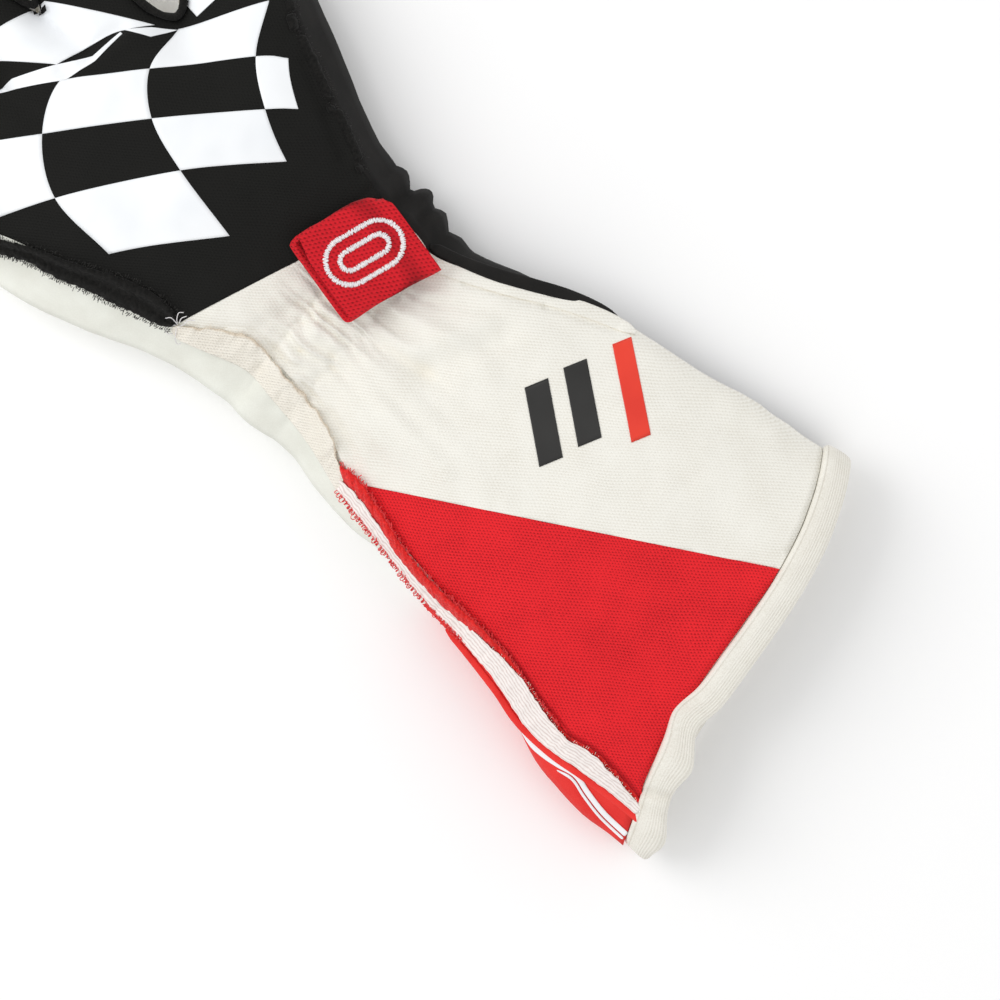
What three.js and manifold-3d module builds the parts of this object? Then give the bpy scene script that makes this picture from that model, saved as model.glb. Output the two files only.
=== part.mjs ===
// A left-hand racing glove lying palm down, in millimetres: +Z up, +Y from the cuff to the fingertips, and
// +X towards the thumb. The glove is one hollow skin, lofted through closed rings: up the cuff and the hand,
// then into the thumb at its crotch and into four fingers at the knuckles. Each sewn panel is a part of that
// skin, given the thickness of its cloth. The seams are sewn outside, so their raw plies stand up.
import * as THREE from "three";
import { mergeVertices } from "three/addons/utils/BufferGeometryUtils.js";
import Module from "manifold-3d";

// Driving dimensions
const WALL = 1.6; // outer knit and its lining
const GAP = 0.3; // clearance between neighbouring pieces
const CUFF_LENGTH = 121.5; // wrist line to the cuff's binding
const THUMB_CROTCH = 82; // wrist line to the crotch of the thumb
const KNUCKLE = 112; // wrist line to the crotches of the fingers
const WRIST_WIDTH = 68;
const HEM_WIDTH = 108.5;
const HAND_WIDTH = 110; // across the palm and the root of the thumb
const PALM_WIDTH = 82; // across the four fingers' roots
const FINGER_LENGTH = 84; // the middle finger's, beyond its root
const FINGER_WIDTH = 20.4;
const FINGER_HEIGHT = 18.5;
const CUFF_HEIGHT = 27;
const HAND_HEIGHT = 31;
const HEM_SLANT = 14; // how far the hem runs out at the little finger's side, and back at the thumb's
const THUMB_DROP = 17; // the thumb's root starts this much lower than its crotch
const KNUCKLE_ARCH = 12; // the index finger's outer side starts about this much lower than the middle finger
const GATHER = 0.9; // how far the wrist's elastic lifts every second column of cloth
const BINDING_WIDTH = 8;
const BINDING_THICKNESS = 4.4;
const BINDING_BEVEL = 1.33; // how far the tape's thickness takes to round off at its edges
const BINDING_EDGE = [0.7, 0.6]; // thickness of the inner and the outer edge, as shares of the middle's
const SEAM_WIDTH = 4.2; // the raw plies of the hand and the wrist
const SEAM_HEIGHT = 3;
const FLAT_SEAM_HEIGHT = 1.7; // the seam on the thumb's side, which lies flatter
const SEAM_LIFT = 0.55; // the foot of a seam above the skin, which bends under it
const PLY_WIDTH = 1.6; // one ply of the cuff's open seam
const LINING_PLY_WIDTH = 3;
const FINGER_SEAM_WIDTH = 1.8;
const FINGER_SEAM_HEIGHT = 1.8;
const SEAM_TOP = 0.8; // width of a seam's top, as a share of its foot's
const TAB_LENGTH = 25.5; // across the wrist
const TAB_WIDTH = 25.4; // along the glove
const TAB_STRAP = 1.2; // the webbing's own thickness
const TAB_BULGE = 5.2; // the flattened loop, from its back to its face
const TAB_TURN = -18; // degrees from +X
const TAB_MIDDLE = [0.245, 0.08]; // shares of WRIST_WIDTH across and of CUFF_LENGTH from the wrist line
const TAB_STATIONS = 8; // along the loop
const TAB_TURNS = 12; // round it
const TAB_STIFFNESS = 0.5; // share by which the loop bridges a hollow of the wrist

// How the rings are divided
const FINGERS = 4;
const DIGIT_COLUMNS = 4; // across the back of each finger, and of the thumb
const SIDE_COLUMNS = 3; // from a back seam down to the floor
const PALM_COLUMNS = FINGERS * DIGIT_COLUMNS;
const BODY_COLUMNS = PALM_COLUMNS + DIGIT_COLUMNS;
const ROOTS = [0, 0.21, 0.48, 0.76, 1]; // where the fingers divide the back, from the little finger's seam
const SIDE_SHARE = 0.42; // height of a ring's widest line, as a share of the ring's height
const CROWN_POWER = 0.7; // below 1 a ring is squarer than an ellipse
const MOST_INSET = 0.55; // the floor keeps the rest of a ring's half width, even at a fingertip
const LEAST_MITRE = 0.4; // stops an edge from being held back too far at a sharp corner

// A table of rows with named columns
const rows = (names, table) =>
  table.map((row) => Object.fromEntries(names.split(" ").map((name, index) => [name, row[index]])));

// Rings of the cuff, from the hem to the wrist. along is a share of CUFF_LENGTH, flare goes from WRIST_WIDTH
// to HEM_WIDTH, centre is a share of WRIST_WIDTH, crown of CUFF_HEIGHT, and gather of GATHER. split is the
// column that ends in the thumb's crotch, a share of the ring's half width. ulnar and radial are the seams of
// the little finger's side and of the thumb's, as angles round the ring from the thumb's side over the top.
const CUFF_RINGS = rows("along flare centre crown split ulnar radial gather", [
  [1.0, 1.0, 0.04, 0.93, 0.69, 143, -15, 0],
  [0.86, 0.91, 0.033, 0.96, 0.68, 144, -15, 0],
  [0.72, 0.74, 0.05, 1.0, 0.67, 146, -12, 0],
  [0.58, 0.57, 0.066, 1.0, 0.65, 149, -6, 0],
  [0.44, 0.47, 0.063, 1.0, 0.62, 148, 4, 0],
  [0.32, 0.35, 0.06, 0.97, 0.6, 146, 13, 0],
  [0.22, 0.25, 0.044, 0.94, 0.58, 141, 22, 0.1],
  [0.14, 0.14, 0.037, 0.9, 0.56, 136, 30, 0.4],
  [0.08, 0.04, 0.04, 0.86, 0.55, 133, 36, 0.8],
  [0.03, 0.0, 0.03, 0.78, 0.55, 127, 40, 1],
]);

// Rings of the hand, from the wrist to the crotch of the thumb. along is a share of THUMB_CROTCH, flare goes
// from WRIST_WIDTH to HAND_WIDTH, crown and valley are shares of HAND_HEIGHT, and drop of THUMB_DROP. valley
// is how far the back sinks at the split, and the other columns are as above.
const HAND_RINGS = rows("along flare centre crown split ulnar radial drop valley gather", [
  [0.05, 0.12, 0.04, 0.74, 0.54, 124, 42, 0, 0, 0.9],
  [0.1, 0.13, 0.044, 0.76, 0.53, 124, 42, 0, 0, 0.9],
  [0.14, 0.07, 0.04, 0.69, 0.53, 124, 42, 0, 0, 1],
  [0.2, 0.12, 0.045, 0.78, 0.52, 125, 41, 0.02, 0, 0.7],
  [0.29, 0.12, 0.044, 0.84, 0.5, 133, 37, 0.1, 0, 0.3],
  [0.415, 0.25, 0.048, 0.9, 0.51, 137, 33, 0.24, 0, 0],
  [0.56, 0.49, 0.048, 0.97, 0.5, 135, 32, 0.41, 0, 0],
  [0.71, 0.7, 0.048, 1.0, 0.49, 136, 33, 0.6, 0.03, 0],
  [0.86, 0.87, 0.0625, 0.99, 0.47, 139, 30, 0.8, 0.14, 0],
  [1.0, 1.0, 0.08, 0.95, 0.445, 142, 28, 1, 0.4, 0],
]);

const VALLEY_WIDTH = 0.16; // a share of the ring's half width

// Rings of the palm, from the crotch of the thumb to the knuckles. along is a share of that stretch, crown of
// HAND_HEIGHT, and arch of KNUCKLE_ARCH. bumps says how far the four knuckles stand apart.
const PALM_RINGS = rows("along crown arch bumps ulnar radial", [
  [0.3, 0.93, 0.12, 0.08, 146, 27],
  [0.66, 0.86, 0.55, 0.35, 151, 25],
  [1.0, 0.75, 1, 1, 156, 24],
]);
const PALM_CENTRE = -0.116; // a share of PALM_WIDTH
const ARCH_CENTRE = -0.05; // where the knuckles reach furthest, a share of PALM_WIDTH
const KNUCKLE_VALLEY = 0.42; // top of the crotches between the fingers, a share of HAND_HEIGHT

// The fingers and the thumb. root is where the centre line starts, a share of PALM_WIDTH across and of
// KNUCKLE along. turn is in degrees from +Y towards the thumb, and length, width and height are shares of the
// middle finger's. flares widens the first rings.
const DIGITS = rows("name root turn length width height flares", [
  ["little", [-0.502, 0.92], -13, 0.714, 0.912, 0.919, [1, 1]],
  ["ring", [-0.259, 0.965], -6.5, 0.94, 0.97, 0.973, [1, 1]],
  ["middle", [-0.006, 0.995], 0, 1, 1, 1, [1, 1]],
  ["index", [0.254, 0.965], 6, 0.905, 1.01, 1, [1, 1]],
  ["thumb", [0.543, 0.652], 29, 0.762, 1.225, 1.081, [1.3, 1.1]],
]);
const THUMB = DIGITS[FINGERS];
// Rings of a digit. along is a share of its length, width of its width, and height of its height. lift is a
// share of the ring's own height.
const DIGIT_RINGS = rows("along width height lift", [
  [0.1, 1.0, 1.0, 0],
  [0.3, 1.0, 0.98, 0],
  [0.52, 0.97, 0.95, 0],
  [0.72, 0.94, 0.92, 0],
  [0.87, 0.84, 0.86, 0.01],
  [0.96, 0.66, 0.74, 0.08],
  [1.0, 0.42, 0.54, 0.31],
]);
const TIP_BULGE = 0.04; // the middle of a fingertip stands out this share of its width
const DIGIT_SEAM = 42; // angle of a digit's back seams above its widest line

// Where the outside seams change, as rings counted from the hem
const SEAM_RINGS = {
  wrist: CUFF_RINGS.length - 3,
  hand: CUFF_RINGS.length + 5,
  radialCuff: [4, CUFF_RINGS.length - 1],
  radialHand: CUFF_RINGS.length + 4,
};

// Folds and dents of the back. Ends are shares of WRIST_WIDTH across and of CUFF_LENGTH from the wrist line,
// width is a share of WRIST_WIDTH, and rise of HAND_HEIGHT, below zero for a dent.
const FOLDS = [
  { from: [0.1, -0.1], to: [0.42, -0.36], width: 0.07, rise: 0.05 }, // from the elastic to the thumb's side
  { from: [-0.2, -0.06], to: [-0.1, -0.5], width: 0.08, rise: 0.035 },
  { from: [0.28, -0.08], to: [0.56, -0.45], width: 0.06, rise: -0.04 },
  { from: [0.45, -0.5], to: [0.66, -0.9], width: 0.1, rise: 0.04 },
  { from: [-0.3, -0.88], to: [-0.26, -1.15], width: 0.09, rise: -0.09 }, // the hem's wave
  { from: [-0.52, -0.9], to: [-0.5, -1.2], width: 0.09, rise: 0.06 },
  { from: [0.42, 0.62], to: [0.02, 0.76], width: 0.08, rise: 0.05 }, // from the crotch of the thumb
  { from: [0.5, 0.24], to: [0.62, 0.46], width: 0.07, rise: -0.06 }, // along the root of the thumb
  { from: [-0.2, 0.28], to: [-0.3, 0.6], width: 0.09, rise: 0.04 },
];
const FOLDS_START = 0.2 * HAND_HEIGHT; // below this height the cloth has no folds
const FOLDS_FULL = 0.6 * HAND_HEIGHT;

// Straight borders between colours, seen from above. Places along the glove are in millimetres from the wrist
// line as shares of CUFF_LENGTH, and places across are shares of WRIST_WIDTH.
const WRIST_BORDER = { from: [-0.368, 0.272], to: [0.456, 0.09] }; // black hand and cream cuff
const WEDGE_BORDER = { from: [-0.368, -0.239], to: [0.375, -0.971] }; // cream cuff and its red wedge
const SIDE_BORDER = { from: [-0.75, -0.36], to: [-0.2, -0.72] }; // cream side and its red end

// Finishes
const BLACK_KNIT = new THREE.MeshStandardMaterial({ color: 0x211f1b, roughness: 0.9, metalness: 0 });
const CREAM_KNIT = new THREE.MeshStandardMaterial({ color: 0xeceadf, roughness: 0.85, metalness: 0 });
const RED_KNIT = new THREE.MeshStandardMaterial({ color: 0xdd1f28, roughness: 0.8, metalness: 0 });
const PALM_SUEDE = new THREE.MeshStandardMaterial({ color: 0x1b1a18, roughness: 0.95, metalness: 0 });
const SIDE_SUEDE = new THREE.MeshStandardMaterial({ color: 0xe9e8dc, roughness: 0.7, metalness: 0 });
const SIDE_RED = new THREE.MeshStandardMaterial({ color: 0xe8332f, roughness: 0.7, metalness: 0 });
const RIBBED_TAPE = new THREE.MeshStandardMaterial({ color: 0xefece2, roughness: 0.9, metalness: 0 });
const RED_WEBBING = new THREE.MeshStandardMaterial({ color: 0xcc1122, roughness: 0.75, metalness: 0 });

const wasm = await Module();
wasm.setup();

const { clamp, degToRad, lerp, radToDeg, smoothstep } = THREE.MathUtils;

// The skin's outer points, and its faces with the panel that each belongs to
const points = [];
const faces = [];
const addPoint = (x, y, z) => points.push(new THREE.Vector3(x, y, z)) - 1;

// How far in from its widest line a ring's floor turns flat
const floorInset = (halfWidth, height) => Math.min(SIDE_SHARE * height, MOST_INSET * halfWidth);

// A place on a ring's outline. Angle 0 is the thumb's side, 90 the crown and 180 the little finger's side.
// Past -90 or 270 degrees lies the flat floor.
function outline(angle, halfWidth, height) {
  const side = SIDE_SHARE * height;
  const across = Math.cos(degToRad(angle));
  const up = Math.sin(degToRad(angle));
  if (up >= 0) return { x: halfWidth * across, z: side + (height - side) * up ** CROWN_POWER };
  const inset = floorInset(halfWidth, height);
  return { x: Math.sign(across) * (halfWidth - inset) + inset * across, z: side + side * up };
}

// Shares across the back for a row of palm columns, so that the fingers' roots fall on whole columns
function rootShares() {
  const shares = [];
  for (let finger = 0; finger < FINGERS; finger++)
    for (let step = 0; step < DIGIT_COLUMNS; step++)
      shares.push(lerp(ROOTS[finger], ROOTS[finger + 1], step / DIGIT_COLUMNS));
  return [...shares, 1];
}

// A closed ring: the back from the little finger's seam to the thumb's, the side down to the floor, the floor
// back, and the other side up. back holds angles, and floor places across from the ring's middle.
function ringOutline({ back, floor, ulnar, radial, halfWidth, height }) {
  const flat = halfWidth - floorInset(halfWidth, height);
  const side = (from, to) => {
    const steps = [];
    for (let step = 1; step < SIDE_COLUMNS; step++)
      steps.push(outline(lerp(from, to, step / SIDE_COLUMNS), halfWidth, height));
    return steps;
  };
  return [
    ...back.map((angle) => outline(angle, halfWidth, height)),
    ...side(radial, -90),
    ...floor.map((x) => ({ x: clamp(x, -flat, flat), z: 0 })),
    ...side(270, ulnar),
  ];
}

const angleAt = (share) => radToDeg(Math.acos(share));

// The cuff and the hand: the palm's columns, then the thumb's
function bodyRing(row, halfWidth, height) {
  const { ulnar, radial, split } = row;
  const flat = halfWidth - floorInset(halfWidth, height);
  const shares = rootShares();
  const back = shares.map((share) => angleAt(lerp(Math.cos(degToRad(ulnar)), split, share)));
  const floor = shares.map((share) => lerp(-flat, split * halfWidth, share));
  for (let step = 1; step <= DIGIT_COLUMNS; step++) {
    back.push(lerp(angleAt(split), radial, step / DIGIT_COLUMNS));
    floor.push(lerp(split * halfWidth, flat, step / DIGIT_COLUMNS));
  }
  return ringOutline({ back, floor: floor.reverse(), ulnar, radial, halfWidth, height });
}

// The elastic lifts every second column, except on the floor, where the glove lies flat
const gatherLift = (index, z, amount) => (z > 0 && index % 2 === 0 ? amount * GATHER : 0);

function cuffRing(row) {
  const halfWidth = lerp(WRIST_WIDTH, HEM_WIDTH, row.flare) / 2;
  const height = row.crown * CUFF_HEIGHT;
  return bodyRing(row, halfWidth, height).map(({ x, z }, index) => {
    const u = x / halfWidth;
    const slant = (HEM_SLANT * row.along ** 2 * (u + 2 * u ** 3)) / 3;
    const lift = gatherLift(index, z, row.gather);
    return addPoint(row.centre * WRIST_WIDTH + x, slant - row.along * CUFF_LENGTH, z + lift);
  });
}

function handRing(row) {
  const halfWidth = lerp(WRIST_WIDTH, HAND_WIDTH, row.flare) / 2;
  const height = row.crown * HAND_HEIGHT;
  return bodyRing(row, halfWidth, height).map(({ x, z }, index) => {
    const fromSplit = x / halfWidth - row.split;
    const drop = row.drop * THUMB_DROP * Math.max(0, fromSplit / (1 - row.split));
    const dip = row.valley * HAND_HEIGHT * Math.exp(-((fromSplit / VALLEY_WIDTH) ** 2)) * (z / height);
    const lift = gatherLift(index, z, row.gather);
    return addPoint(row.centre * WRIST_WIDTH + x, row.along * THUMB_CROTCH - drop, z - dip + lift);
  });
}

function palmRing(row) {
  const halfWidth = PALM_WIDTH / 2;
  const height = row.crown * HAND_HEIGHT;
  const flat = halfWidth - floorInset(halfWidth, height);
  const edges = [row.ulnar, row.radial].map((angle) => Math.cos(degToRad(angle)));
  const shares = rootShares();
  const back = shares.map((share) => angleAt(lerp(edges[0], edges[1], share)));
  const floor = shares.map((share) => lerp(-flat, flat, share)).reverse();
  const ring = ringOutline({ ...row, back, floor, halfWidth, height });
  return ring.map(({ x, z }, index) => {
    const inner = index > 0 && index < PALM_COLUMNS;
    const nearCrotch = inner ? Math.cos((index / DIGIT_COLUMNS) * Math.PI) ** 2 : 0;
    const dip = row.bumps * nearCrotch ** 3 * Math.max(0, z - KNUCKLE_VALLEY * HAND_HEIGHT);
    const arch = row.arch * KNUCKLE_ARCH * (x / halfWidth + (PALM_CENTRE - ARCH_CENTRE) * 2) ** 2;
    const y = lerp(THUMB_CROTCH, KNUCKLE, row.along) - arch;
    return addPoint(PALM_CENTRE * PALM_WIDTH + x, y, z - dip);
  });
}

function digitRing(digit, row, number) {
  const turn = degToRad(digit.turn);
  const halfWidth = (digit.width * FINGER_WIDTH * row.width * (digit.flares[number] ?? 1)) / 2;
  const height = digit.height * FINGER_HEIGHT * row.height;
  const flat = halfWidth - floorInset(halfWidth, height);
  const back = [];
  const floor = [];
  for (let column = 0; column <= DIGIT_COLUMNS; column++) {
    back.push(lerp(180 - DIGIT_SEAM, DIGIT_SEAM, column / DIGIT_COLUMNS));
    floor.push(lerp(flat, -flat, column / DIGIT_COLUMNS));
  }
  const ring = ringOutline({ back, floor, ulnar: 180 - DIGIT_SEAM, radial: DIGIT_SEAM, halfWidth, height });
  const reach = row.along * digit.length * FINGER_LENGTH;
  const middleX = digit.root[0] * PALM_WIDTH + reach * Math.sin(turn);
  const middleY = digit.root[1] * KNUCKLE + reach * Math.cos(turn);
  return ring.map(({ x, z }) =>
    addPoint(middleX + x * Math.cos(turn), middleY - x * Math.sin(turn), z + row.lift * height),
  );
}

// Names the panel of each column of a ring, in the ring's own order
const columnPanels = (backCount, { back, radial, floor, ulnar }) => [
  ...Array(backCount).fill(back),
  ...Array(SIDE_COLUMNS).fill(radial),
  ...(Array.isArray(floor) ? floor : Array(backCount).fill(floor)),
  ...Array(SIDE_COLUMNS).fill(ulnar),
];

// Joins two rings of the same layout with four-sided faces
function joinRings(lower, upper, panels) {
  lower.forEach((_, column) => {
    const next = (column + 1) % lower.length;
    faces.push({
      panel: panels[column],
      corners: [lower[column], lower[next], upper[next], upper[column]],
    });
  });
}

// Closes a digit at its tip with a fan of triangles
function closeTip(ring, digit, panels) {
  const middle = new THREE.Vector3();
  ring.forEach((corner) => middle.addScaledVector(points[corner], 1 / ring.length));
  const turn = degToRad(digit.turn);
  const push = TIP_BULGE * digit.width * FINGER_WIDTH;
  const centre = addPoint(middle.x + push * Math.sin(turn), middle.y + push * Math.cos(turn), middle.z);
  ring.forEach((corner, column) =>
    faces.push({ panel: panels[column], corners: [corner, ring[(column + 1) % ring.length], centre] }),
  );
}

// The points between the two ends of a crotch, from its top to the floor
function crotch(top, bottom) {
  const steps = [];
  for (let step = 1; step < SIDE_COLUMNS; step++) {
    const place = points[top].clone().lerp(points[bottom], step / SIDE_COLUMNS);
    steps.push(addPoint(place.x, place.y, place.z));
  }
  return steps;
}

// Cuff and hand. The floor's last columns, under the little finger, belong to the side panel.
const floorPanels = [
  ...Array(BODY_COLUMNS - DIGIT_COLUMNS).fill("palm"),
  ...Array(DIGIT_COLUMNS).fill("side"),
];
const bodyPanels = columnPanels(BODY_COLUMNS, {
  back: "back",
  radial: "palm",
  floor: floorPanels,
  ulnar: "side",
});
const bodyRings = [...CUFF_RINGS.map(cuffRing), ...HAND_RINGS.map(handRing)];
bodyRings.slice(1).forEach((ring, number) => joinRings(bodyRings[number], ring, bodyPanels));

// The last ring of the hand divides into the palm and the root of the thumb
const handEnd = bodyRings.at(-1);
const floorStart = BODY_COLUMNS + SIDE_COLUMNS;
const thumbCrotch = crotch(handEnd[PALM_COLUMNS], handEnd[floorStart + DIGIT_COLUMNS]);
const palmStart = [
  ...handEnd.slice(0, PALM_COLUMNS + 1),
  ...thumbCrotch,
  ...handEnd.slice(floorStart + DIGIT_COLUMNS),
];
const thumbStart = [
  ...handEnd.slice(PALM_COLUMNS, floorStart + DIGIT_COLUMNS + 1),
  ...thumbCrotch.toReversed(),
];

// Palm. The strips between two digits are named for both.
const pair = (finger) => `${DIGITS[finger].name}_${DIGITS[finger + 1].name}`;
const between = (finger) => `gusset_${pair(finger)}`;
const palmPanels = columnPanels(PALM_COLUMNS, {
  back: "back",
  radial: between(FINGERS - 1),
  floor: floorPanels.slice(DIGIT_COLUMNS),
  ulnar: "side",
});
const palmRings = [palmStart, ...PALM_RINGS.map(palmRing)];
palmRings.slice(1).forEach((ring, number) => joinRings(palmRings[number], ring, palmPanels));

// The last ring of the palm divides into the roots of the fingers
const knuckles = palmRings.at(-1);
const floorEnd = 2 * PALM_COLUMNS + SIDE_COLUMNS;
const fingerCrotches = [];
for (let finger = 1; finger < FINGERS; finger++)
  fingerCrotches.push(crotch(knuckles[finger * DIGIT_COLUMNS], knuckles[floorEnd - finger * DIGIT_COLUMNS]));

function fingerStart(finger) {
  const first = finger * DIGIT_COLUMNS;
  const radialSide = fingerCrotches[finger] ?? knuckles.slice(PALM_COLUMNS + 1, PALM_COLUMNS + SIDE_COLUMNS);
  const ulnarSide = fingerCrotches[finger - 1]?.toReversed() ?? knuckles.slice(floorEnd + 1);
  return [
    ...knuckles.slice(first, first + DIGIT_COLUMNS + 1),
    ...radialSide,
    ...knuckles.slice(floorEnd - first - DIGIT_COLUMNS, floorEnd - first + 1),
    ...ulnarSide,
  ];
}

const digitRings = DIGITS.map((digit, number) => {
  const isThumb = digit === THUMB;
  const rings = [isThumb ? thumbStart : fingerStart(number)];
  DIGIT_RINGS.forEach((row, index) => rings.push(digitRing(digit, row, index)));
  const panels = columnPanels(DIGIT_COLUMNS, {
    back: "back",
    radial: isThumb ? "palm" : between(number),
    floor: number === 0 ? "side" : "palm",
    ulnar: number === 0 ? "side" : between(number - 1),
  });
  rings.slice(1).forEach((ring, index) => joinRings(rings[index], ring, panels));
  closeTip(rings.at(-1), digit, panels);
  return rings;
});

// Folds lift or sink the back, and die away towards its sides and their own ends
FOLDS.forEach((fold) => {
  const [from, to] = [fold.from, fold.to].map(
    ([across, along]) => new THREE.Vector3(across * WRIST_WIDTH, along * CUFF_LENGTH, 0),
  );
  const line = new THREE.Line3(from, to);
  points.forEach((place) => {
    const level = place.clone().setZ(0);
    const away = line.closestPointToPoint(level, true, new THREE.Vector3()).distanceTo(level);
    const share = Math.exp(-((away / (fold.width * WRIST_WIDTH)) ** 2));
    place.z += fold.rise * HAND_HEIGHT * share * smoothstep(place.z, FOLDS_START, FOLDS_FULL);
  });
});

// The skin's outward direction at each point, from all the faces round it
const normals = points.map(() => new THREE.Vector3());
const edge = (a, b) => new THREE.Vector3().subVectors(points[b], points[a]);
faces.forEach(({ corners }) => {
  const last = corners.at(-1);
  const area = new THREE.Vector3().crossVectors(edge(corners[0], corners[1]), edge(corners[1], last));
  if (corners.length === 4)
    area.crossVectors(edge(corners[0], corners[2]), edge(corners[1], corners[3]));
  corners.forEach((corner) => normals[corner].add(area));
});
normals.forEach((normal) => normal.normalize());

// A closed solid from its own points and its faces of three or four corners
function solidFrom(places, loops) {
  const triVerts = loops.flatMap(([a, b, c, d]) => (d === undefined ? [a, b, c] : [a, b, c, a, c, d]));
  return new wasm.Manifold(
    new wasm.Mesh({
      numProp: 3,
      vertProperties: new Float32Array(places.flatMap((place) => place.toArray())),
      triVerts: new Uint32Array(triVerts),
    }),
  );
}

// Turns a face round while keeping the diagonal that splits it
const mirrored = ([a, b, c, d]) => (d === undefined ? [a, c, b] : [a, d, c, b]);

// Gives a panel's faces the cloth's thickness, and holds its edges back by half the gap to its neighbours
function panelSolid(name) {
  const own = faces.filter(({ panel }) => panel === name).map(({ corners }) => corners);
  const sides = new Map();
  own.forEach((corners) =>
    corners.forEach((corner, index) => sides.set(`${corner} ${corners[(index + 1) % corners.length]}`, true)),
  );
  const border = [...sides.keys()]
    .map((key) => key.split(" ").map(Number))
    .filter(([a, b]) => !sides.has(`${b} ${a}`));
  const inwards = new Map();
  border.forEach(([a, b]) =>
    [a, b].forEach((corner) => {
      const away = new THREE.Vector3().crossVectors(normals[corner], edge(a, b)).normalize();
      inwards.set(corner, [...(inwards.get(corner) ?? []), away]);
    }),
  );
  const used = [...new Set(own.flat())];
  const number = new Map(used.map((corner, index) => [corner, index]));
  const outer = used.map((corner) => {
    const place = points[corner].clone();
    const ways = inwards.get(corner);
    if (!ways) return place;
    const way = ways.reduce((sum, next) => sum.add(next), new THREE.Vector3()).normalize();
    place.addScaledVector(way, GAP / 2 / Math.max(LEAST_MITRE, way.dot(ways[0])));
    return place.setZ(Math.max(0, place.z));
  });
  const inner = used.map((corner, index) => outer[index].clone().addScaledVector(normals[corner], -WALL));
  const count = used.length;
  const loops = own.flatMap((corners) => {
    const loop = corners.map((corner) => number.get(corner));
    return [loop, mirrored(loop.map((corner) => corner + count))];
  });
  border.forEach(([a, b]) => {
    const [first, second] = [number.get(a), number.get(b)];
    loops.push([second, first, first + count, second + count]);
  });
  return solidFrom([...outer, ...inner], loops);
}

// A three.js geometry as a solid, and back
function toSolid(geometry) {
  const position = geometry.getAttribute("position");
  const places = [];
  for (let index = 0; index < position.count; index++)
    places.push(new THREE.Vector3().fromBufferAttribute(position, index));
  const loops = [];
  for (let index = 0; index < geometry.index.count; index += 3)
    loops.push([0, 1, 2].map((corner) => geometry.index.getX(index + corner)));
  return solidFrom(places, loops);
}

function toMesh(name, solid, material) {
  const made = solid.getMesh();
  const geometry = new THREE.BufferGeometry();
  geometry.setAttribute("position", new THREE.BufferAttribute(made.vertProperties, 3));
  geometry.setIndex(new THREE.BufferAttribute(made.triVerts, 1));
  geometry.computeVertexNormals();
  const mesh = new THREE.Mesh(geometry, material);
  mesh.name = name;
  return mesh;
}

// A block that fills one side of a straight border, held back by half the gap
function sideOfBorder(border, side) {
  const [from, to] = [border.from, border.to].map(
    ([across, along]) => new THREE.Vector2(across * WRIST_WIDTH, along * CUFF_LENGTH),
  );
  const reach = 3 * (CUFF_LENGTH + KNUCKLE);
  const block = new THREE.BoxGeometry(reach, reach, reach);
  block.deleteAttribute("normal");
  block.deleteAttribute("uv");
  block.translate(0, (side * (reach + GAP)) / 2, 0);
  block.rotateZ(to.clone().sub(from).angle());
  block.translate((from.x + to.x) / 2, (from.y + to.y) / 2, 0);
  return toSolid(mergeVertices(block));
}

// Cuts a solid in two: the first half lies to the left of the way from the border's start to its end
const cutAlong = (solid, border) => [1, -1].map((side) => solid.intersect(sideOfBorder(border, side)));

// A bar along a line of skin points. trims shortens its two ends, and shift moves it sideways.
function ridge(corners, { width, height, shift = 0, trims = [0, 0] }) {
  const section = [
    [-0.5, SEAM_LIFT],
    [-SEAM_TOP / 2, height],
    [SEAM_TOP / 2, height],
    [0.5, SEAM_LIFT],
  ];
  const foot = corners.map((corner) => points[corner].clone());
  const shorten = (end, next, length) =>
    foot[end].addScaledVector(edge(corners[end], corners[next]).normalize(), length);
  shorten(0, 1, trims[0]);
  shorten(corners.length - 1, corners.length - 2, trims[1]);
  const places = [];
  corners.forEach((corner, index) => {
    const before = corners[Math.max(0, index - 1)];
    const after = corners[Math.min(corners.length - 1, index + 1)];
    const up = normals[corner];
    const across = new THREE.Vector3().crossVectors(edge(before, after), up).normalize();
    section.forEach(([share, rise]) => {
      const place = foot[index].clone().addScaledVector(across, shift + share * width);
      places.push(place.addScaledVector(up, rise));
    });
  });
  const count = section.length;
  const loops = [];
  for (let index = 1; index < corners.length; index++)
    for (let step = 0; step < count; step++) {
      const [first, next] = [(index - 1) * count, index * count];
      const other = (step + 1) % count;
      loops.push([first + step, first + other, next + other, next + step]);
    }
  const end = (corners.length - 1) * count;
  loops.push([3, 2, 1, 0], [end, end + 1, end + 2, end + 3]);
  return solidFrom(places, loops);
}

// The ribbed tape round the opening, pressed flat where the cuff lies on the floor
function bindingSolid() {
  const [hem, next] = bodyRings;
  const half = BINDING_THICKNESS / 2;
  const [start, end] = [GAP / 2, GAP / 2 + BINDING_WIDTH];
  const [inner, outer] = BINDING_EDGE.map((share) => share * half);
  const section = [
    [start, inner],
    [start + BINDING_BEVEL, half],
    [end - BINDING_BEVEL, half],
    [end, outer],
    [end, -outer],
    [end - BINDING_BEVEL, -half],
    [start + BINDING_BEVEL, -half],
    [start, -inner],
  ];
  const places = [];
  hem.forEach((corner, column) => {
    const away = edge(next[column], corner);
    away.addScaledVector(normals[corner], -away.dot(normals[corner])).normalize();
    section.forEach(([along, out]) => {
      const place = points[corner].clone().addScaledVector(away, along);
      place.addScaledVector(normals[corner], out - WALL / 2);
      places.push(place.setZ(Math.max(0, place.z)));
    });
  });
  const loops = [];
  hem.forEach((_, column) => {
    const first = column * section.length;
    const second = ((column + 1) % hem.length) * section.length;
    section.forEach((_, step) => {
      const other = (step + 1) % section.length;
      loops.push([first + step, first + other, second + other, second + step]);
    });
  });
  return solidFrom(places, loops);
}

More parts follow.
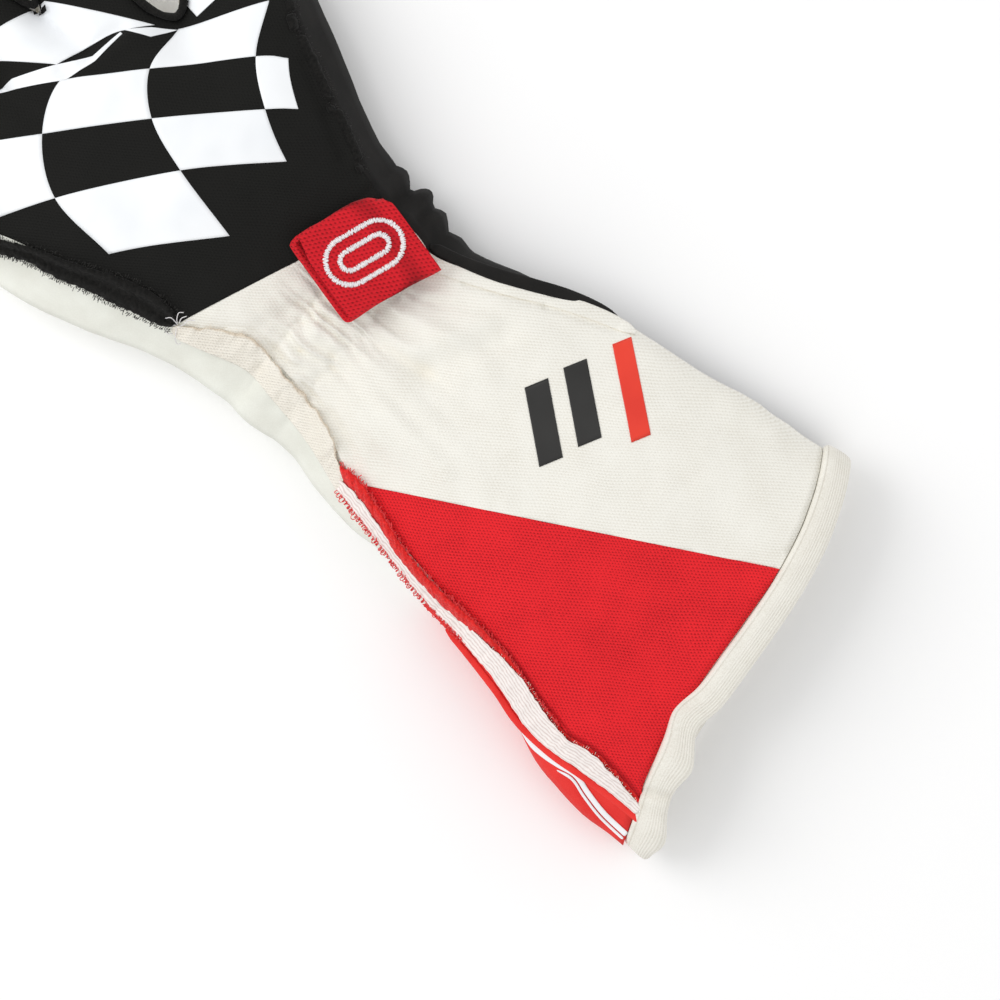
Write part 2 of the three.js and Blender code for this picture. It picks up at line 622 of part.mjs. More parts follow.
// Height of the back above the floor at a place
function backHeight(x, y) {
  let height = 0;
  faces
    .filter(({ panel }) => panel === "back")
    .forEach(({ corners }) => {
      for (let index = 2; index < corners.length; index++) {
        const [a, b, c] = [corners[0], corners[index - 1], corners[index]].map((corner) => points[corner]);
        const level = new THREE.Triangle(...[a, b, c].map((place) => place.clone().setZ(0)));
        const shares = level.getBarycoord(new THREE.Vector3(x, y, 0), new THREE.Vector3());
        if (shares && Math.min(shares.x, shares.y, shares.z) >= 0)
          height = Math.max(height, shares.x * a.z + shares.y * b.z + shares.z * c.z);
      }
    });
  return height;
}

// The pull tab: a strap folded into a flat loop, whose open ends face the two sides of the wrist
function tabSolid() {
  const turn = degToRad(TAB_TURN);
  const place = (along, across) => ({
    x: TAB_MIDDLE[0] * WRIST_WIDTH + along * Math.cos(turn) - across * Math.sin(turn),
    y: TAB_MIDDLE[1] * CUFF_LENGTH + along * Math.sin(turn) + across * Math.cos(turn),
  });
  const lengths = [];
  for (let index = 0; index <= TAB_STATIONS; index++)
    lengths.push((index / TAB_STATIONS - 0.5) * TAB_LENGTH);
  const seats = lengths.map((along) => {
    const heights = [-0.5, -0.25, 0, 0.25, 0.5].map((share) => place(along, share * TAB_WIDTH));
    return Math.max(...heights.map(({ x, y }) => backHeight(x, y))) + GAP;
  });
  const centre = TAB_STATIONS / 2;
  const slope = (seats[centre + 1] - seats[centre - 1]) / (lengths[centre + 1] - lengths[centre - 1]);
  // The loop's section: two half circles, each of half the turns
  const loop = (radius, half) => {
    const steps = [];
    for (let step = 0; step < TAB_TURNS; step++) {
      const angle = ((step + 0.5) / TAB_TURNS) * 2 * Math.PI - Math.PI / 2;
      const middle = Math.sign(Math.cos(angle)) * (half - radius);
      steps.push([middle + radius * Math.cos(angle), TAB_BULGE / 2 + radius * Math.sin(angle)]);
    }
    return steps;
  };
  const outside = loop(TAB_BULGE / 2, TAB_WIDTH / 2);
  const inside = loop(TAB_BULGE / 2 - TAB_STRAP, TAB_WIDTH / 2 - TAB_STRAP);
  const section = [...outside, ...inside];
  const places = lengths.flatMap((along, index) => {
    const straight = seats[centre] + slope * along;
    const seat = Math.max(seats[index], lerp(seats[index], straight, TAB_STIFFNESS));
    return section.map(([across, rise]) => {
      const { x, y } = place(along, across);
      return new THREE.Vector3(x, y, seat + rise);
    });
  });
  const count = outside.length;
  const loops = [];
  for (let index = 0; index < TAB_STATIONS; index++)
    for (let step = 0; step < count; step++) {
      const other = (step + 1) % count;
      const [first, next] = [index * 2 * count, (index + 1) * 2 * count];
      loops.push([first + step, first + other, next + other, next + step]);
      loops.push([first + count + other, first + count + step, next + count + step, next + count + other]);
    }
  const end = TAB_STATIONS * 2 * count;
  for (let step = 0; step < count; step++) {
    const other = (step + 1) % count;
    loops.push([other, step, step + count, other + count]);
    loops.push([end + step, end + other, end + other + count, end + step + count]);
  }
  return solidFrom(places, loops);
}

const glove = new THREE.Group();
const add = (name, solid, material) => glove.add(toMesh(name, solid, material));

// Panels
const [handBack, cuffBack] = cutAlong(panelSolid("back"), WRIST_BORDER);
const [cuffCream, cuffRed] = cutAlong(cuffBack, WEDGE_BORDER);
const [sideCream, sideRed] = cutAlong(panelSolid("side"), SIDE_BORDER);
add("back_panel", handBack, BLACK_KNIT);
add("cuff_back", cuffCream, CREAM_KNIT);
add("cuff_wedge", cuffRed, RED_KNIT);
add("palm_panel", panelSolid("palm"), PALM_SUEDE);
add("side_panel", sideCream, SIDE_SUEDE);
add("side_wedge", sideRed, SIDE_RED);
for (let finger = 0; finger < FINGERS; finger++)
  add(between(finger), panelSolid(between(finger)), CREAM_KNIT);

// Outside seams. The little finger's side runs from the hem to the fingertip in lengths of its own colours.
const ulnarLine = [...bodyRings, ...palmRings.slice(1), ...digitRings[0].slice(1)].map((ring) => ring[0]);
const radialLine = [
  ...bodyRings.map((ring) => ring[BODY_COLUMNS]),
  ...digitRings[FINGERS].slice(1).map((ring) => ring[DIGIT_COLUMNS]),
];
const joint = GAP; // each end stops this short of the next length
const whole = { width: SEAM_WIDTH, height: SEAM_HEIGHT, trims: [joint, joint] };
const ulnarLength = (from, to) => ulnarLine.slice(from, to === undefined ? to : to + 1);
add("hand_seam", ridge(ulnarLength(SEAM_RINGS.hand), whole), BLACK_KNIT);
add("wrist_seam", ridge(ulnarLength(SEAM_RINGS.wrist, SEAM_RINGS.hand), whole), CREAM_KNIT);

// On the cuff the seam's plies stand open side by side, from the binding to the wrist
const cuffLine = ulnarLength(0, SEAM_RINGS.wrist);
const plyStep = (PLY_WIDTH + LINING_PLY_WIDTH) / 2 + GAP;
const ply = { width: PLY_WIDTH, height: SEAM_HEIGHT, trims: [2 * GAP, joint] };
add("cuff_seam_outer", ridge(cuffLine, { ...ply, shift: -plyStep }), SIDE_RED);
add("cuff_seam_lining", ridge(cuffLine, { ...ply, width: LINING_PLY_WIDTH }), CREAM_KNIT);
add("cuff_seam_inner", ridge(cuffLine, { ...ply, shift: plyStep }), RED_KNIT);

// Thumb's side: the seam passes under the tab's end, where it lies flat
const [cuffFrom, cuffTo] = SEAM_RINGS.radialCuff;
const flat = { ...whole, height: FLAT_SEAM_HEIGHT };
add("radial_cuff_seam", ridge(radialLine.slice(cuffFrom, cuffTo), flat), CREAM_KNIT);
add("radial_hand_seam", ridge(radialLine.slice(SEAM_RINGS.radialHand), flat), BLACK_KNIT);

// Between two digits a narrow seam runs down one and up the other. At the thumb it also follows the palm.
const thumbTurn = [
  ...palmRings.slice(1).map((ring) => ring[PALM_COLUMNS]).reverse(),
  handEnd[PALM_COLUMNS],
];
for (let finger = 0; finger < FINGERS; finger++) {
  const down = digitRings[finger].slice(1).map((ring) => ring[DIGIT_COLUMNS]);
  const up = digitRings[finger + 1].slice(1).map((ring) => ring[0]);
  const turn = finger === FINGERS - 1 ? thumbTurn : [digitRings[finger][0][DIGIT_COLUMNS]];
  const narrow = { width: FINGER_SEAM_WIDTH, height: FINGER_SEAM_HEIGHT };
  add(`seam_${pair(finger)}`, ridge([...down.reverse(), ...turn, ...up], narrow), BLACK_KNIT);
}

add("cuff_binding", bindingSolid(), RIBBED_TAPE);
add("wrist_tab", tabSolid(), RED_WEBBING);

const box = new THREE.Box3().setFromObject(glove);
glove.position.set(-(box.min.x + box.max.x) / 2, -(box.min.y + box.max.y) / 2, -box.min.z);

export default glove;
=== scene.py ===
# %% [markdown]
# A racing glove for the left hand, lying palm down, with its cuff towards -Y and its thumb towards +X.
# The imported model already holds every panel, seam and strap at its real size, as plain faceted shells.
# This script dresses that frame: smooth cloth in place of the facets, raw seams, ribbed tape, print, thread
# and fibres. The frame itself is never moved. A piece that stands for nodes of the frame hides them, and
# thread, print and seam allowances are added on top.

import math
import random

import bmesh
import bpy
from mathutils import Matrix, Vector, noise
from mathutils.bvhtree import BVHTree


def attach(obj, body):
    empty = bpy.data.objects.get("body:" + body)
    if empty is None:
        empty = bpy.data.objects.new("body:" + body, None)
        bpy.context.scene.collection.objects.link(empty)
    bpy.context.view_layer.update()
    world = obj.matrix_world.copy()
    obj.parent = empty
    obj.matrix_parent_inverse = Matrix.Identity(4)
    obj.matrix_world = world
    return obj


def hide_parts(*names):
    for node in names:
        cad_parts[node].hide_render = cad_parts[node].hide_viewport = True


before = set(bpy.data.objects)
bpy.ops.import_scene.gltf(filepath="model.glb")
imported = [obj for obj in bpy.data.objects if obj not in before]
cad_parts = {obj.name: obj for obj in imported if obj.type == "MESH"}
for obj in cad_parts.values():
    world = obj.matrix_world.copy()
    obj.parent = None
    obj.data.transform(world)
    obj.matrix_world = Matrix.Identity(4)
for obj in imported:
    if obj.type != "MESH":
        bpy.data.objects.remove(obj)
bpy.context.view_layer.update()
mm = 0.001


# %% [markdown]
# A photograph of a flat-lying product is taken from straight above. The long lens keeps both sides of the
# glove in view alike. The picture is turned so that the fingers run out of its upper left corner, which is
# why the camera is rolled about its own axis, and not the glove about the floor.

# %% camera
wrist = Vector((-9.98, -26.56, 0)) * mm  # middle of the wrist line, from which places below are measured
view_centre = wrist + Vector((-6.5, -55.4, 12)) * mm
view_width = 250 * mm  # of what the picture shows
camera_distance = 1.1  # in metres
fingers_turn = math.radians(41)  # of the fingers above the picture's left edge
sensor_width = 36  # in millimetres, as on a full-frame camera

lens = bpy.data.cameras.new("overhead_lens")
lens.sensor_width = sensor_width
lens.lens = sensor_width * camera_distance / view_width
camera = bpy.data.objects.new("overhead_camera", lens)
camera.location = view_centre + Vector((0, 0, camera_distance))
camera.rotation_euler = (0, 0, fingers_turn - math.pi / 2)
bpy.context.scene.collection.objects.link(camera)
bpy.context.scene.camera = camera
print("camera: lens", round(lens.lens, 1), "mm")

# %% [markdown]
# White floor and soft light. Product light comes from large panels: one on the left of the picture as the
# key, a weaker one on the right, and a bright even surround, so that shadows stay short and soft. Together
# they give a level white surface just about full white, so a cloth's colour in the picture is its real one.

# %% floor and light
right = Vector((math.sin(fingers_turn), -math.cos(fingers_turn), 0))  # the picture's own right, on the floor
up = Vector((math.cos(fingers_turn), math.sin(fingers_turn), 0))
floor_size = 4.0  # in metres
floor_drop = 0.2 * mm  # keeps the floor clear of the cloth that lies on it


def srgb(code):
    """A hex colour as linear red, green, blue and alpha."""
    parts = [int(code[i:i + 2], 16) / 255 for i in (0, 2, 4)]
    return [c / 12.92 if c <= 0.04045 else ((c + 0.055) / 1.055) ** 2.4 for c in parts] + [1.0]


def panel_light(name, place, size, power):
    """A square area light that faces the middle of the view."""
    light = bpy.data.lights.new(name, "AREA")
    light.size = size
    light.energy = power
    lamp = bpy.data.objects.new(name, light)
    lamp.location = place
    lamp.rotation_euler = (view_centre - Vector(place)).to_track_quat("-Z", "Y").to_euler()
    bpy.context.scene.collection.objects.link(lamp)


bm = bmesh.new()
bmesh.ops.create_grid(bm, x_segments=1, y_segments=1, size=floor_size / 2)
bmesh.ops.translate(bm, verts=bm.verts, vec=(view_centre.x, view_centre.y, -floor_drop))
floor_mesh = bpy.data.meshes.new("floor")
bm.to_mesh(floor_mesh)
bm.free()
floor = bpy.data.objects.new("floor", floor_mesh)
bpy.context.scene.collection.objects.link(floor)

key_place = view_centre - 0.8 * right + 0.3 * up + Vector((0, 0, 0.8))
key_size = 0.8  # in metres
key_power = 5.2  # in watts
fill_place = view_centre + 0.9 * right - 0.2 * up + Vector((0, 0, 0.9))
fill_size = 1.2
fill_power = 1.6
surround_strength = 0.78
panel_light("key", key_place, key_size, key_power)
panel_light("fill", fill_place, fill_size, fill_power)
surround = bpy.data.worlds.new("surround")
surround.use_nodes = True
surround.node_tree.nodes["Background"].inputs["Color"].default_value = srgb("FFFFFF")
surround.node_tree.nodes["Background"].inputs["Strength"].default_value = surround_strength
bpy.context.scene.world = surround
bpy.context.scene.view_settings.view_transform = "Standard"  # plain colours, as in a shop's photograph
print("stage: floor and 2 lights")

# %% [markdown]
# Materials are built from nodes. One small function adds a node, sets its values and makes its links, so a
# material reads as a short list of steps. Object coordinates are in metres, so each material first turns
# them into millimetres, and every scale after that is written as it would be measured with a ruler.

# %% node helper
def add(tree, kind, inputs=None, **settings):
    """Adds a node. inputs gives a value, a socket or a node, by the input's name or number."""
    made = tree.nodes.new(kind)
    for name, value in settings.items():
        setattr(made, name, value)
    for name, value in (inputs or {}).items():
        if isinstance(value, bpy.types.Node):
            value = value.outputs[0]
        if isinstance(value, bpy.types.NodeSocket):
            tree.links.new(value, made.inputs[name])
        else:
            made.inputs[name].default_value = value
    return made


def cloth_material(name, roughness, sheen=0.0, specular=0.25):
    """A new material: its tree, its shader and a node that gives places in millimetres."""
    material = bpy.data.materials.new(name)
    material.use_nodes = True
    tree = material.node_tree
    shader = tree.nodes["Principled BSDF"]
    shader.inputs["Roughness"].default_value = roughness
    shader.inputs["Specular IOR Level"].default_value = specular
    shader.inputs["Sheen Weight"].default_value = sheen
    shader.inputs["Sheen Roughness"].default_value = 0.4
    place = add(tree, "ShaderNodeTexCoord").outputs["Object"]
    ruler = add(tree, "ShaderNodeMapping", {"Vector": place, "Scale": (1 / mm, 1 / mm, 1 / mm)})
    return material, tree, shader, ruler


def finish_cloth(tree, shader, colour, height, strength, depth):
    """Links a cloth's colour and its relief, depth millimetres deep."""
    bump = add(tree, "ShaderNodeBump", {"Height": height, "Strength": strength, "Distance": depth * mm})
    tree.links.new(colour, shader.inputs["Base Color"])
    tree.links.new(bump.outputs[0], shader.inputs["Normal"])


print("node helper ready")

# %% paper under the glove
# The floor is matte white paper, which has no shine of its own and shows only the soft shadow
paper, _, paper_shader, _ = cloth_material("paper_floor", 0.9)
paper_shader.inputs["Base Color"].default_value = srgb("FDFDFD")
floor.data.materials.append(paper)
print("floor: matte white paper")

# %% [markdown]
# Fireproof glove knit is an interlock of matte aramid yarn. From a hand's length away it reads as fine
# parallel courses, three quarters of a millimetre apart, with a short dark dash between neighbouring
# stitches. The dashes of each course stand half a stitch aside from the last one's. Voronoi cells with
# hardly any randomness give such a lattice. Shearing their coordinates staggers the rows and slants the
# dashes at once. The panels are cut on the bias, so the courses run at about 36 degrees to the fingers. The
# real yarn is finer still, about 0.5 mm, and is drawn this coarse so that it shows in a picture.

# %% knit
course = 0.74  # mm from one row of stitches to the next
stitch = 0.85  # mm along a row
grain_turn = -54  # degrees from +X to the courses, nearly level with the picture's lower edge
height_share = 0.15  # of a place's height that goes into the pattern, so that steep cloth has rows too
sway = 1.6  # how far the rows wander aside


def knit(name, yarn, hollow, depth, lines, crease_shade_colour, turn=grain_turn, size=1.0, relief=0.5, sheen=0.05):
    """Knitted yarn. depth and lines are how much the gaps and the courses show.

    The last colour is painted shade, mixed into the yarn where the cloth is drawn in or a piece is marked as
    shaded.
    """
    material, tree, shader, ruler = cloth_material(name, 0.85, sheen, 0.18)
    angle = math.radians(turn)
    rise = Vector((-math.sin(angle), math.cos(angle), height_share)) / (course * size)
    along = Vector((math.cos(angle), math.sin(angle), height_share)) / (stitch * size) + 0.5 * rise
    drift = add(tree, "ShaderNodeTexNoise", {"Vector": ruler, "Scale": 0.06, "Detail": 1.0})
    swayed = add(tree, "ShaderNodeVectorMath", {0: drift.outputs["Color"], 1: (sway, sway, sway), 2: ruler},
                 operation="MULTIPLY_ADD")
    across = add(tree, "ShaderNodeVectorMath", {0: swayed, 1: along},
                 operation="DOT_PRODUCT").outputs["Value"]
    row = add(tree, "ShaderNodeVectorMath", {0: swayed, 1: rise},
              operation="DOT_PRODUCT").outputs["Value"]
    lattice = add(tree, "ShaderNodeCombineXYZ", {"X": across, "Y": row})
    loops = add(tree, "ShaderNodeTexVoronoi", {"Vector": lattice, "Scale": 1.0, "Randomness": 0.18},
                voronoi_dimensions="2D").outputs["Distance"]
    hole = add(tree, "ShaderNodeMapRange", {0: loops, 1: 0.38, 2: 0.06, 3: 0.0, 4: 1.0},
               interpolation_type="SMOOTHSTEP")
    turns = add(tree, "ShaderNodeMath", {0: row, 1: 2 * math.pi}, operation="MULTIPLY")
    ridge = add(tree, "ShaderNodeMath", {0: turns}, operation="SINE")
    fuzz = add(tree, "ShaderNodeTexNoise", {"Vector": ruler, "Scale": 2.4, "Detail": 3.0})
    patch = add(tree, "ShaderNodeTexNoise", {"Vector": ruler, "Scale": 0.11, "Detail": 3.0})
    shade = add(tree, "ShaderNodeMath", {0: patch, 1: 0.5, 2: -0.34}, operation="MULTIPLY_ADD")
    shade = add(tree, "ShaderNodeMath", {0: fuzz, 1: 0.3, 2: shade}, operation="MULTIPLY_ADD")
    shade = add(tree, "ShaderNodeMath", {0: ridge, 1: -lines, 2: shade}, operation="MULTIPLY_ADD")
    shade = add(tree, "ShaderNodeMath", {0: hole, 1: depth, 2: shade}, operation="MULTIPLY_ADD")
    colour = add(tree, "ShaderNodeMix", {"Factor": shade, 6: srgb(yarn), 7: srgb(hollow)},
                 data_type="RGBA", clamp_factor=True)
    # Painted shade: the yarn is mixed towards the shade colour where the cloth is drawn in or shaded.
    drawn = add(tree, "ShaderNodeAttribute", attribute_name="crease_shade").outputs["Fac"]
    inside = add(tree, "ShaderNodeMapRange", {0: drawn, 1: 0.8, 2: 2.6, 3: 0.0, 4: 0.6})
    painted_shade = add(tree, "ShaderNodeMix", {"Factor": inside.outputs[0], 6: colour.outputs[2], 7: srgb(crease_shade_colour)},
                 data_type="RGBA")
    height = add(tree, "ShaderNodeMath", {0: hole, 1: -0.9, 2: fuzz}, operation="MULTIPLY_ADD")
    height = add(tree, "ShaderNodeMath", {0: ridge, 1: 0.25, 2: height}, operation="MULTIPLY_ADD")
    finish_cloth(tree, shader, painted_shade.outputs[2], height.outputs[0], relief, 0.22)
    return material


# The last colour of each knit is its painted shade.
black_knit = knit("aramid_knit_black", "191917", "070707", 0.5, 0.16, "0A0908", sheen=0.01)
cream_knit = knit("aramid_knit_cream", "F2F0E8", "CDC6B6", 0.3, 0.2, "E9DEC8", relief=0.4)
red_knit = knit("aramid_knit_red", "EC282F", "8C0D16", 0.85, 0.2, "8C0A12", relief=0.5)
worn_knit = knit("aramid_knit_worn", "F1ECE1", "D6CAB6", 0.2, 0.07, "C4A985", relief=0.8)
lining_knit = knit("lining_knit_cream", "F2EDE0", "C2B7A2", 0.4, 0.2, "BBAF98")
webbing_turn = -40  # degrees from +X, across the strap's own length
webbing = knit("knitted_webbing_red", "D8202B", "850A14", 0.75, 0.12, "30040A", turn=webbing_turn, size=1.3,
               relief=0.9)
print("knits: black, cream, worn cream, red, lining and webbing")

# %% [markdown]
# The palm and the little finger's side are brushed suede: no rows at all, only a very fine nap that is
# lighter or darker where it has been stroked. It takes a plain colour with two sizes of noise. A cut edge of
# knit has no rows either. Its yarn ends stand up as soft nubs, so it gets a coarser noise, and where a
# folded ply shows its courses edge on, fine lines along it follow the "across" attribute in millimetres.

# %% suede and raw edges
def suede(name, nap, stroked, sheen):
    """Brushed leather with a fine nap."""
    material, tree, shader, ruler = cloth_material(name, 0.8, sheen)
    brushed = add(tree, "ShaderNodeTexNoise", {"Vector": ruler, "Scale": 0.12, "Detail": 4.0})
    grain = add(tree, "ShaderNodeTexNoise", {"Vector": ruler, "Scale": 3.0, "Detail": 2.0})
    shade = add(tree, "ShaderNodeMath", {0: grain, 1: 0.5, 2: brushed}, operation="MULTIPLY_ADD")
    share = add(tree, "ShaderNodeMapRange", {0: shade, 1: 0.55, 2: 1.0})
    colour = add(tree, "ShaderNodeMix", {"Factor": share.outputs[0], 6: srgb(nap), 7: srgb(stroked)},
                 data_type="RGBA")
    finish_cloth(tree, shader, colour.outputs[2], grain.outputs[0], 0.3, 0.15)
    return material


def raw_edge(name, light, dark, nub=1.1, line=None, line_depth=0.0, relief=0.6, sheen=0.15):
    """Cut or folded knit on edge. line is the pitch in mm of the courses that run along it."""
    material, tree, shader, ruler = cloth_material(name, 0.9, sheen)
    lumps = add(tree, "ShaderNodeTexNoise", {"Vector": ruler, "Scale": nub, "Detail": 4.0, "Roughness": 0.65})
    share = add(tree, "ShaderNodeMapRange", {0: lumps, 1: 0.36, 2: 0.68}).outputs[0]
    if line:
        across = add(tree, "ShaderNodeAttribute", attribute_name="across").outputs["Fac"]
        turns = add(tree, "ShaderNodeMath", {0: across, 1: 2 * math.pi / line}, operation="MULTIPLY")
        courses = add(tree, "ShaderNodeMath", {0: turns}, operation="SINE")
        share = add(tree, "ShaderNodeMath", {0: share, 1: 0.35}, operation="MULTIPLY")
        share = add(tree, "ShaderNodeMath", {0: courses, 1: line_depth, 2: share}, operation="MULTIPLY_ADD")
        share = share.outputs[0]
    # Painted shade: the yarn is darkened where the cloth is drawn in or shaded.
    drawn = add(tree, "ShaderNodeAttribute", attribute_name="crease_shade").outputs["Fac"]
    share = add(tree, "ShaderNodeMath", {0: drawn, 1: 0.6, 2: share}, operation="MULTIPLY_ADD").outputs[0]
    colour = add(tree, "ShaderNodeMix", {"Factor": share, 6: srgb(light), 7: srgb(dark)},
                 data_type="RGBA", clamp_factor=True)
    height = add(tree, "ShaderNodeMath", {0: share, 1: -1.0}, operation="MULTIPLY")
    finish_cloth(tree, shader, colour.outputs[2], height.outputs[0], relief, 0.3)
    return material


palm_suede = suede("suede_black", "0F0E0D", "1C1A18", 0.02)
cream_suede = suede("suede_cream", "EBECE3", "E0E0D6", 0.1)
red_suede = suede("suede_red", "EE3A34", "DC2A26", 0.05)
black_raw = raw_edge("raw_edge_black", "1B1A18", "060605", nub=1.4, sheen=0.05)
lining_raw = raw_edge("raw_edge_lining", "F5EEEA", "CDB8B2", nub=1.3, line=0.85, line_depth=0.4, relief=0.25)
red_raw = raw_edge("raw_edge_red", "F4302C", "C4161A", nub=1.6)
print("suedes: black, cream, red; raw edges: black, lining, red")

# %% [markdown]
# The print is a soft vinyl film pressed on hot. It is a little glossy, and the knit under it shows as a
# faint grain. The binding is a cotton rib tape: its ribs run along it, closest on the side that faces out.
# Sewing thread and loose fibres are so thin that two close shades, a silky sheen and a slight twist do.

# %% vinyl, tape and thread
def vinyl(name, film, worn, roughness=0.35):
    """Heat-pressed vinyl film."""
    material, tree, shader, ruler = cloth_material(name, roughness, specular=0.5)
    grain = add(tree, "ShaderNodeTexNoise", {"Vector": ruler, "Scale": 0.9, "Detail": 3.0})
    patch = add(tree, "ShaderNodeTexNoise", {"Vector": ruler, "Scale": 0.06, "Detail": 2.0})
    share = add(tree, "ShaderNodeMapRange", {0: patch, 1: 0.4, 2: 0.7})
    colour = add(tree, "ShaderNodeMix", {"Factor": share.outputs[0], 6: srgb(film), 7: srgb(worn)},
                 data_type="RGBA")
    finish_cloth(tree, shader, colour.outputs[2], grain.outputs[0], 0.12, 0.2)
    return material


rib_pitch = 0.66  # mm
ribs_from = 3.6  # mm from the tape's inner edge
rib_fade = 0.9  # mm to both sides of there, over which the ribs deepen
stitch_line = 1.5  # mm from it to the row of stitches that holds the tape


def rib_tape(name, cotton, groove):
    """Rib-knit binding tape, with its ribs along the "across" attribute."""
    material, tree, shader, ruler = cloth_material(name, 0.85, 0.1)
    across = add(tree, "ShaderNodeAttribute", attribute_name="across").outputs["Fac"]
    turns = add(tree, "ShaderNodeMath", {0: across, 1: 2 * math.pi / rib_pitch}, operation="MULTIPLY")
    ribs = add(tree, "ShaderNodeMath", {0: turns}, operation="SINE")
    ribbed = add(tree, "ShaderNodeMapRange",
                 {0: across, 1: ribs_from - rib_fade, 2: ribs_from + rib_fade, 3: 0.05, 4: 1.0})
    ribs = add(tree, "ShaderNodeMath", {0: ribs, 1: ribbed.outputs[0]}, operation="MULTIPLY")
    weave = add(tree, "ShaderNodeTexNoise", {"Vector": ruler, "Scale": 2.8, "Detail": 3.0})
    patch = add(tree, "ShaderNodeTexNoise", {"Vector": ruler, "Scale": 0.15, "Detail": 2.0})
    beside = add(tree, "ShaderNodeMath", {0: across, 1: stitch_line}, operation="SUBTRACT")
    beside = add(tree, "ShaderNodeMath", {0: beside}, operation="ABSOLUTE")
    sewn = add(tree, "ShaderNodeMapRange", {0: beside, 1: 0.3, 2: 0.0, 3: 0.0, 4: 1.0},
               interpolation_type="SMOOTHSTEP")
    shade = add(tree, "ShaderNodeMath", {0: ribs, 1: 0.2, 2: weave}, operation="MULTIPLY_ADD")
    shade = add(tree, "ShaderNodeMath", {0: patch, 1: 0.4, 2: shade}, operation="MULTIPLY_ADD")
    shade = add(tree, "ShaderNodeMath", {0: sewn, 1: 0.35, 2: shade}, operation="MULTIPLY_ADD")
    share = add(tree, "ShaderNodeMapRange", {0: shade, 1: 0.55, 2: 1.35})
    colour = add(tree, "ShaderNodeMix", {"Factor": share.outputs[0], 6: srgb(cotton), 7: srgb(groove)},
                 data_type="RGBA")
    height = add(tree, "ShaderNodeMath", {0: ribs, 1: -0.5, 2: weave}, operation="MULTIPLY_ADD")
    height = add(tree, "ShaderNodeMath", {0: sewn, 1: -0.9, 2: height}, operation="MULTIPLY_ADD")
    finish_cloth(tree, shader, colour.outputs[2], height.outputs[0], 0.45, 0.25)
    return material


def thread_material(name, light, dark, sheen):
    """Sewing thread or loose fibre."""
    material, tree, shader, ruler = cloth_material(name, 0.6, sheen)
    twist = add(tree, "ShaderNodeTexNoise", {"Vector": ruler, "Scale": 3.5, "Detail": 1.0})
    share = add(tree, "ShaderNodeMapRange", {0: twist, 1: 0.35, 2: 0.65})
    colour = add(tree, "ShaderNodeMix", {"Factor": share.outputs[0], 6: srgb(light), 7: srgb(dark)},
                 data_type="RGBA")
    finish_cloth(tree, shader, colour.outputs[2], twist.outputs[0], 0.4, 0.1)
    return material


white_vinyl = vinyl("vinyl_film_white", "F6F8FA", "EEF1F4")
black_vinyl = vinyl("vinyl_film_black", "1B1A18", "232220", 0.45)
red_vinyl = vinyl("vinyl_film_red", "EB3A22", "E0301C", 0.45)
tape = rib_tape("rib_tape_cream", "F0EDE4", "D0CABC")
white_thread = thread_material("polyester_thread_white", "FBFAF8", "D8D2D8", 0.5)
cream_thread = thread_material("cotton_thread_cream", "F8F3E8", "E2D6C0", 0.1)
red_thread = thread_material("overlock_thread_red", "F5494A", "DC2C32", 0.2)
black_thread = thread_material("overlock_thread_black", "2A2825", "0E0D0C", 0.1)
print("vinyls, tape and threads ready")

# %% [markdown]
# Soft cloth never lies as even as its pattern. One function says how far the cloth stands out or in at any
# place, and every panel is moved by it. It adds the pleats that the wrist's elastic draws up, the soft folds
# of the cuff, the lobes at the thumb's side of the wrist and small random waves. All places are in
# millimetres from the middle of the wrist line, with +Y towards the fingers.

# %% the cloth's own waves
axis_height = 9 * mm  # of the line round which the cuff is wrapped
axis_side = 2.5 * mm
around_radius = 26  # mm, turns an angle round that line into a length along the cloth
cuff_half_width = 44 * mm
cuff_half_height = 14 * mm
gather_rows = (-2.0, 10.5)  # mm, where the elastic is stitched down
gather_middle = 4.5
gather_reach = 10.0
pleat = 4.7  # mm from one pleat to the next
lobe = 7.0  # mm from one lobe of the gathered side to the next
lobe_crest = 16.0
lie_height = 5 * mm  # below this height the cloth lies quiet on the floor
side_edge = (-31, -20)  # mm across the glove, between which the elastic begins
pleat_rise = 0.65  # mm, as the next six: how far each kind of wave stands out
pucker_rise = 1.0
long_fold_rise = 1.8
lobe_rise = 1.5
swell_rise = 0.6
ripple_rise = 0.2
stitch_dip = 0.55

# Soft folds: both ends, and the width and rise in mm
soft_folds = [
    ((9, -15), (27, -24), 3.0, 0.8),
    ((-18, -10), (-22.5, -22), 1.6, -0.9),
    ((-4, -8), (-10, -40), 3.2, 0.8),
    ((28.3, -13.5), (37.3, -32.2), 0.9, -0.8),
    ((37.3, -32.2), (44.5, -49.7), 0.9, -0.8),
    ((6, -21), (24, -30), 3.2, -1.4),
    ((52, -84), (54, -87), 5.0, 0.9),
    ((19, -10), (28, -24), 1.6, -0.7),
    ((2, -6), (6, -26), 2.4, -0.8),
    ((28, -65), (50, -95), 5.0, 0.8),
    ((-12, 16), (-20, 31), 3.0, 0.8),
    ((-2, 14), (-14, 18), 2.0, -0.8),
    ((30, 85), (6, 92), 2.6, 1.0),
    ((20, 92), (3, 96), 2.2, -1.2),
    ((3, 96), (-9, 108), 2.4, -1.2),
    ((32, 30), (44, 52), 1.8, -0.8),
    ((-48, -84), (-52, -120), 10.0, 2.2),
]


def smooth(value, low, high):
    """0 below low, 1 above high, and an even curve between."""
    share = min(1.0, max(0.0, (value - low) / (high - low)))
    return share * share * (3 - 2 * share)


def hump(value, middle, width):
    """1 at the middle, and evenly down to 0 on both sides."""
    return math.exp(-(((value - middle) / width) ** 2))


def away_from(x, y, start, end):
    """Distance in mm from a place to a fold's line."""
    line = Vector(end) - Vector(start)
    share = min(1.0, max(0.0, (Vector((x, y)) - Vector(start)).dot(line) / line.length_squared))
    return (Vector((x, y)) - Vector(start) - share * line).length


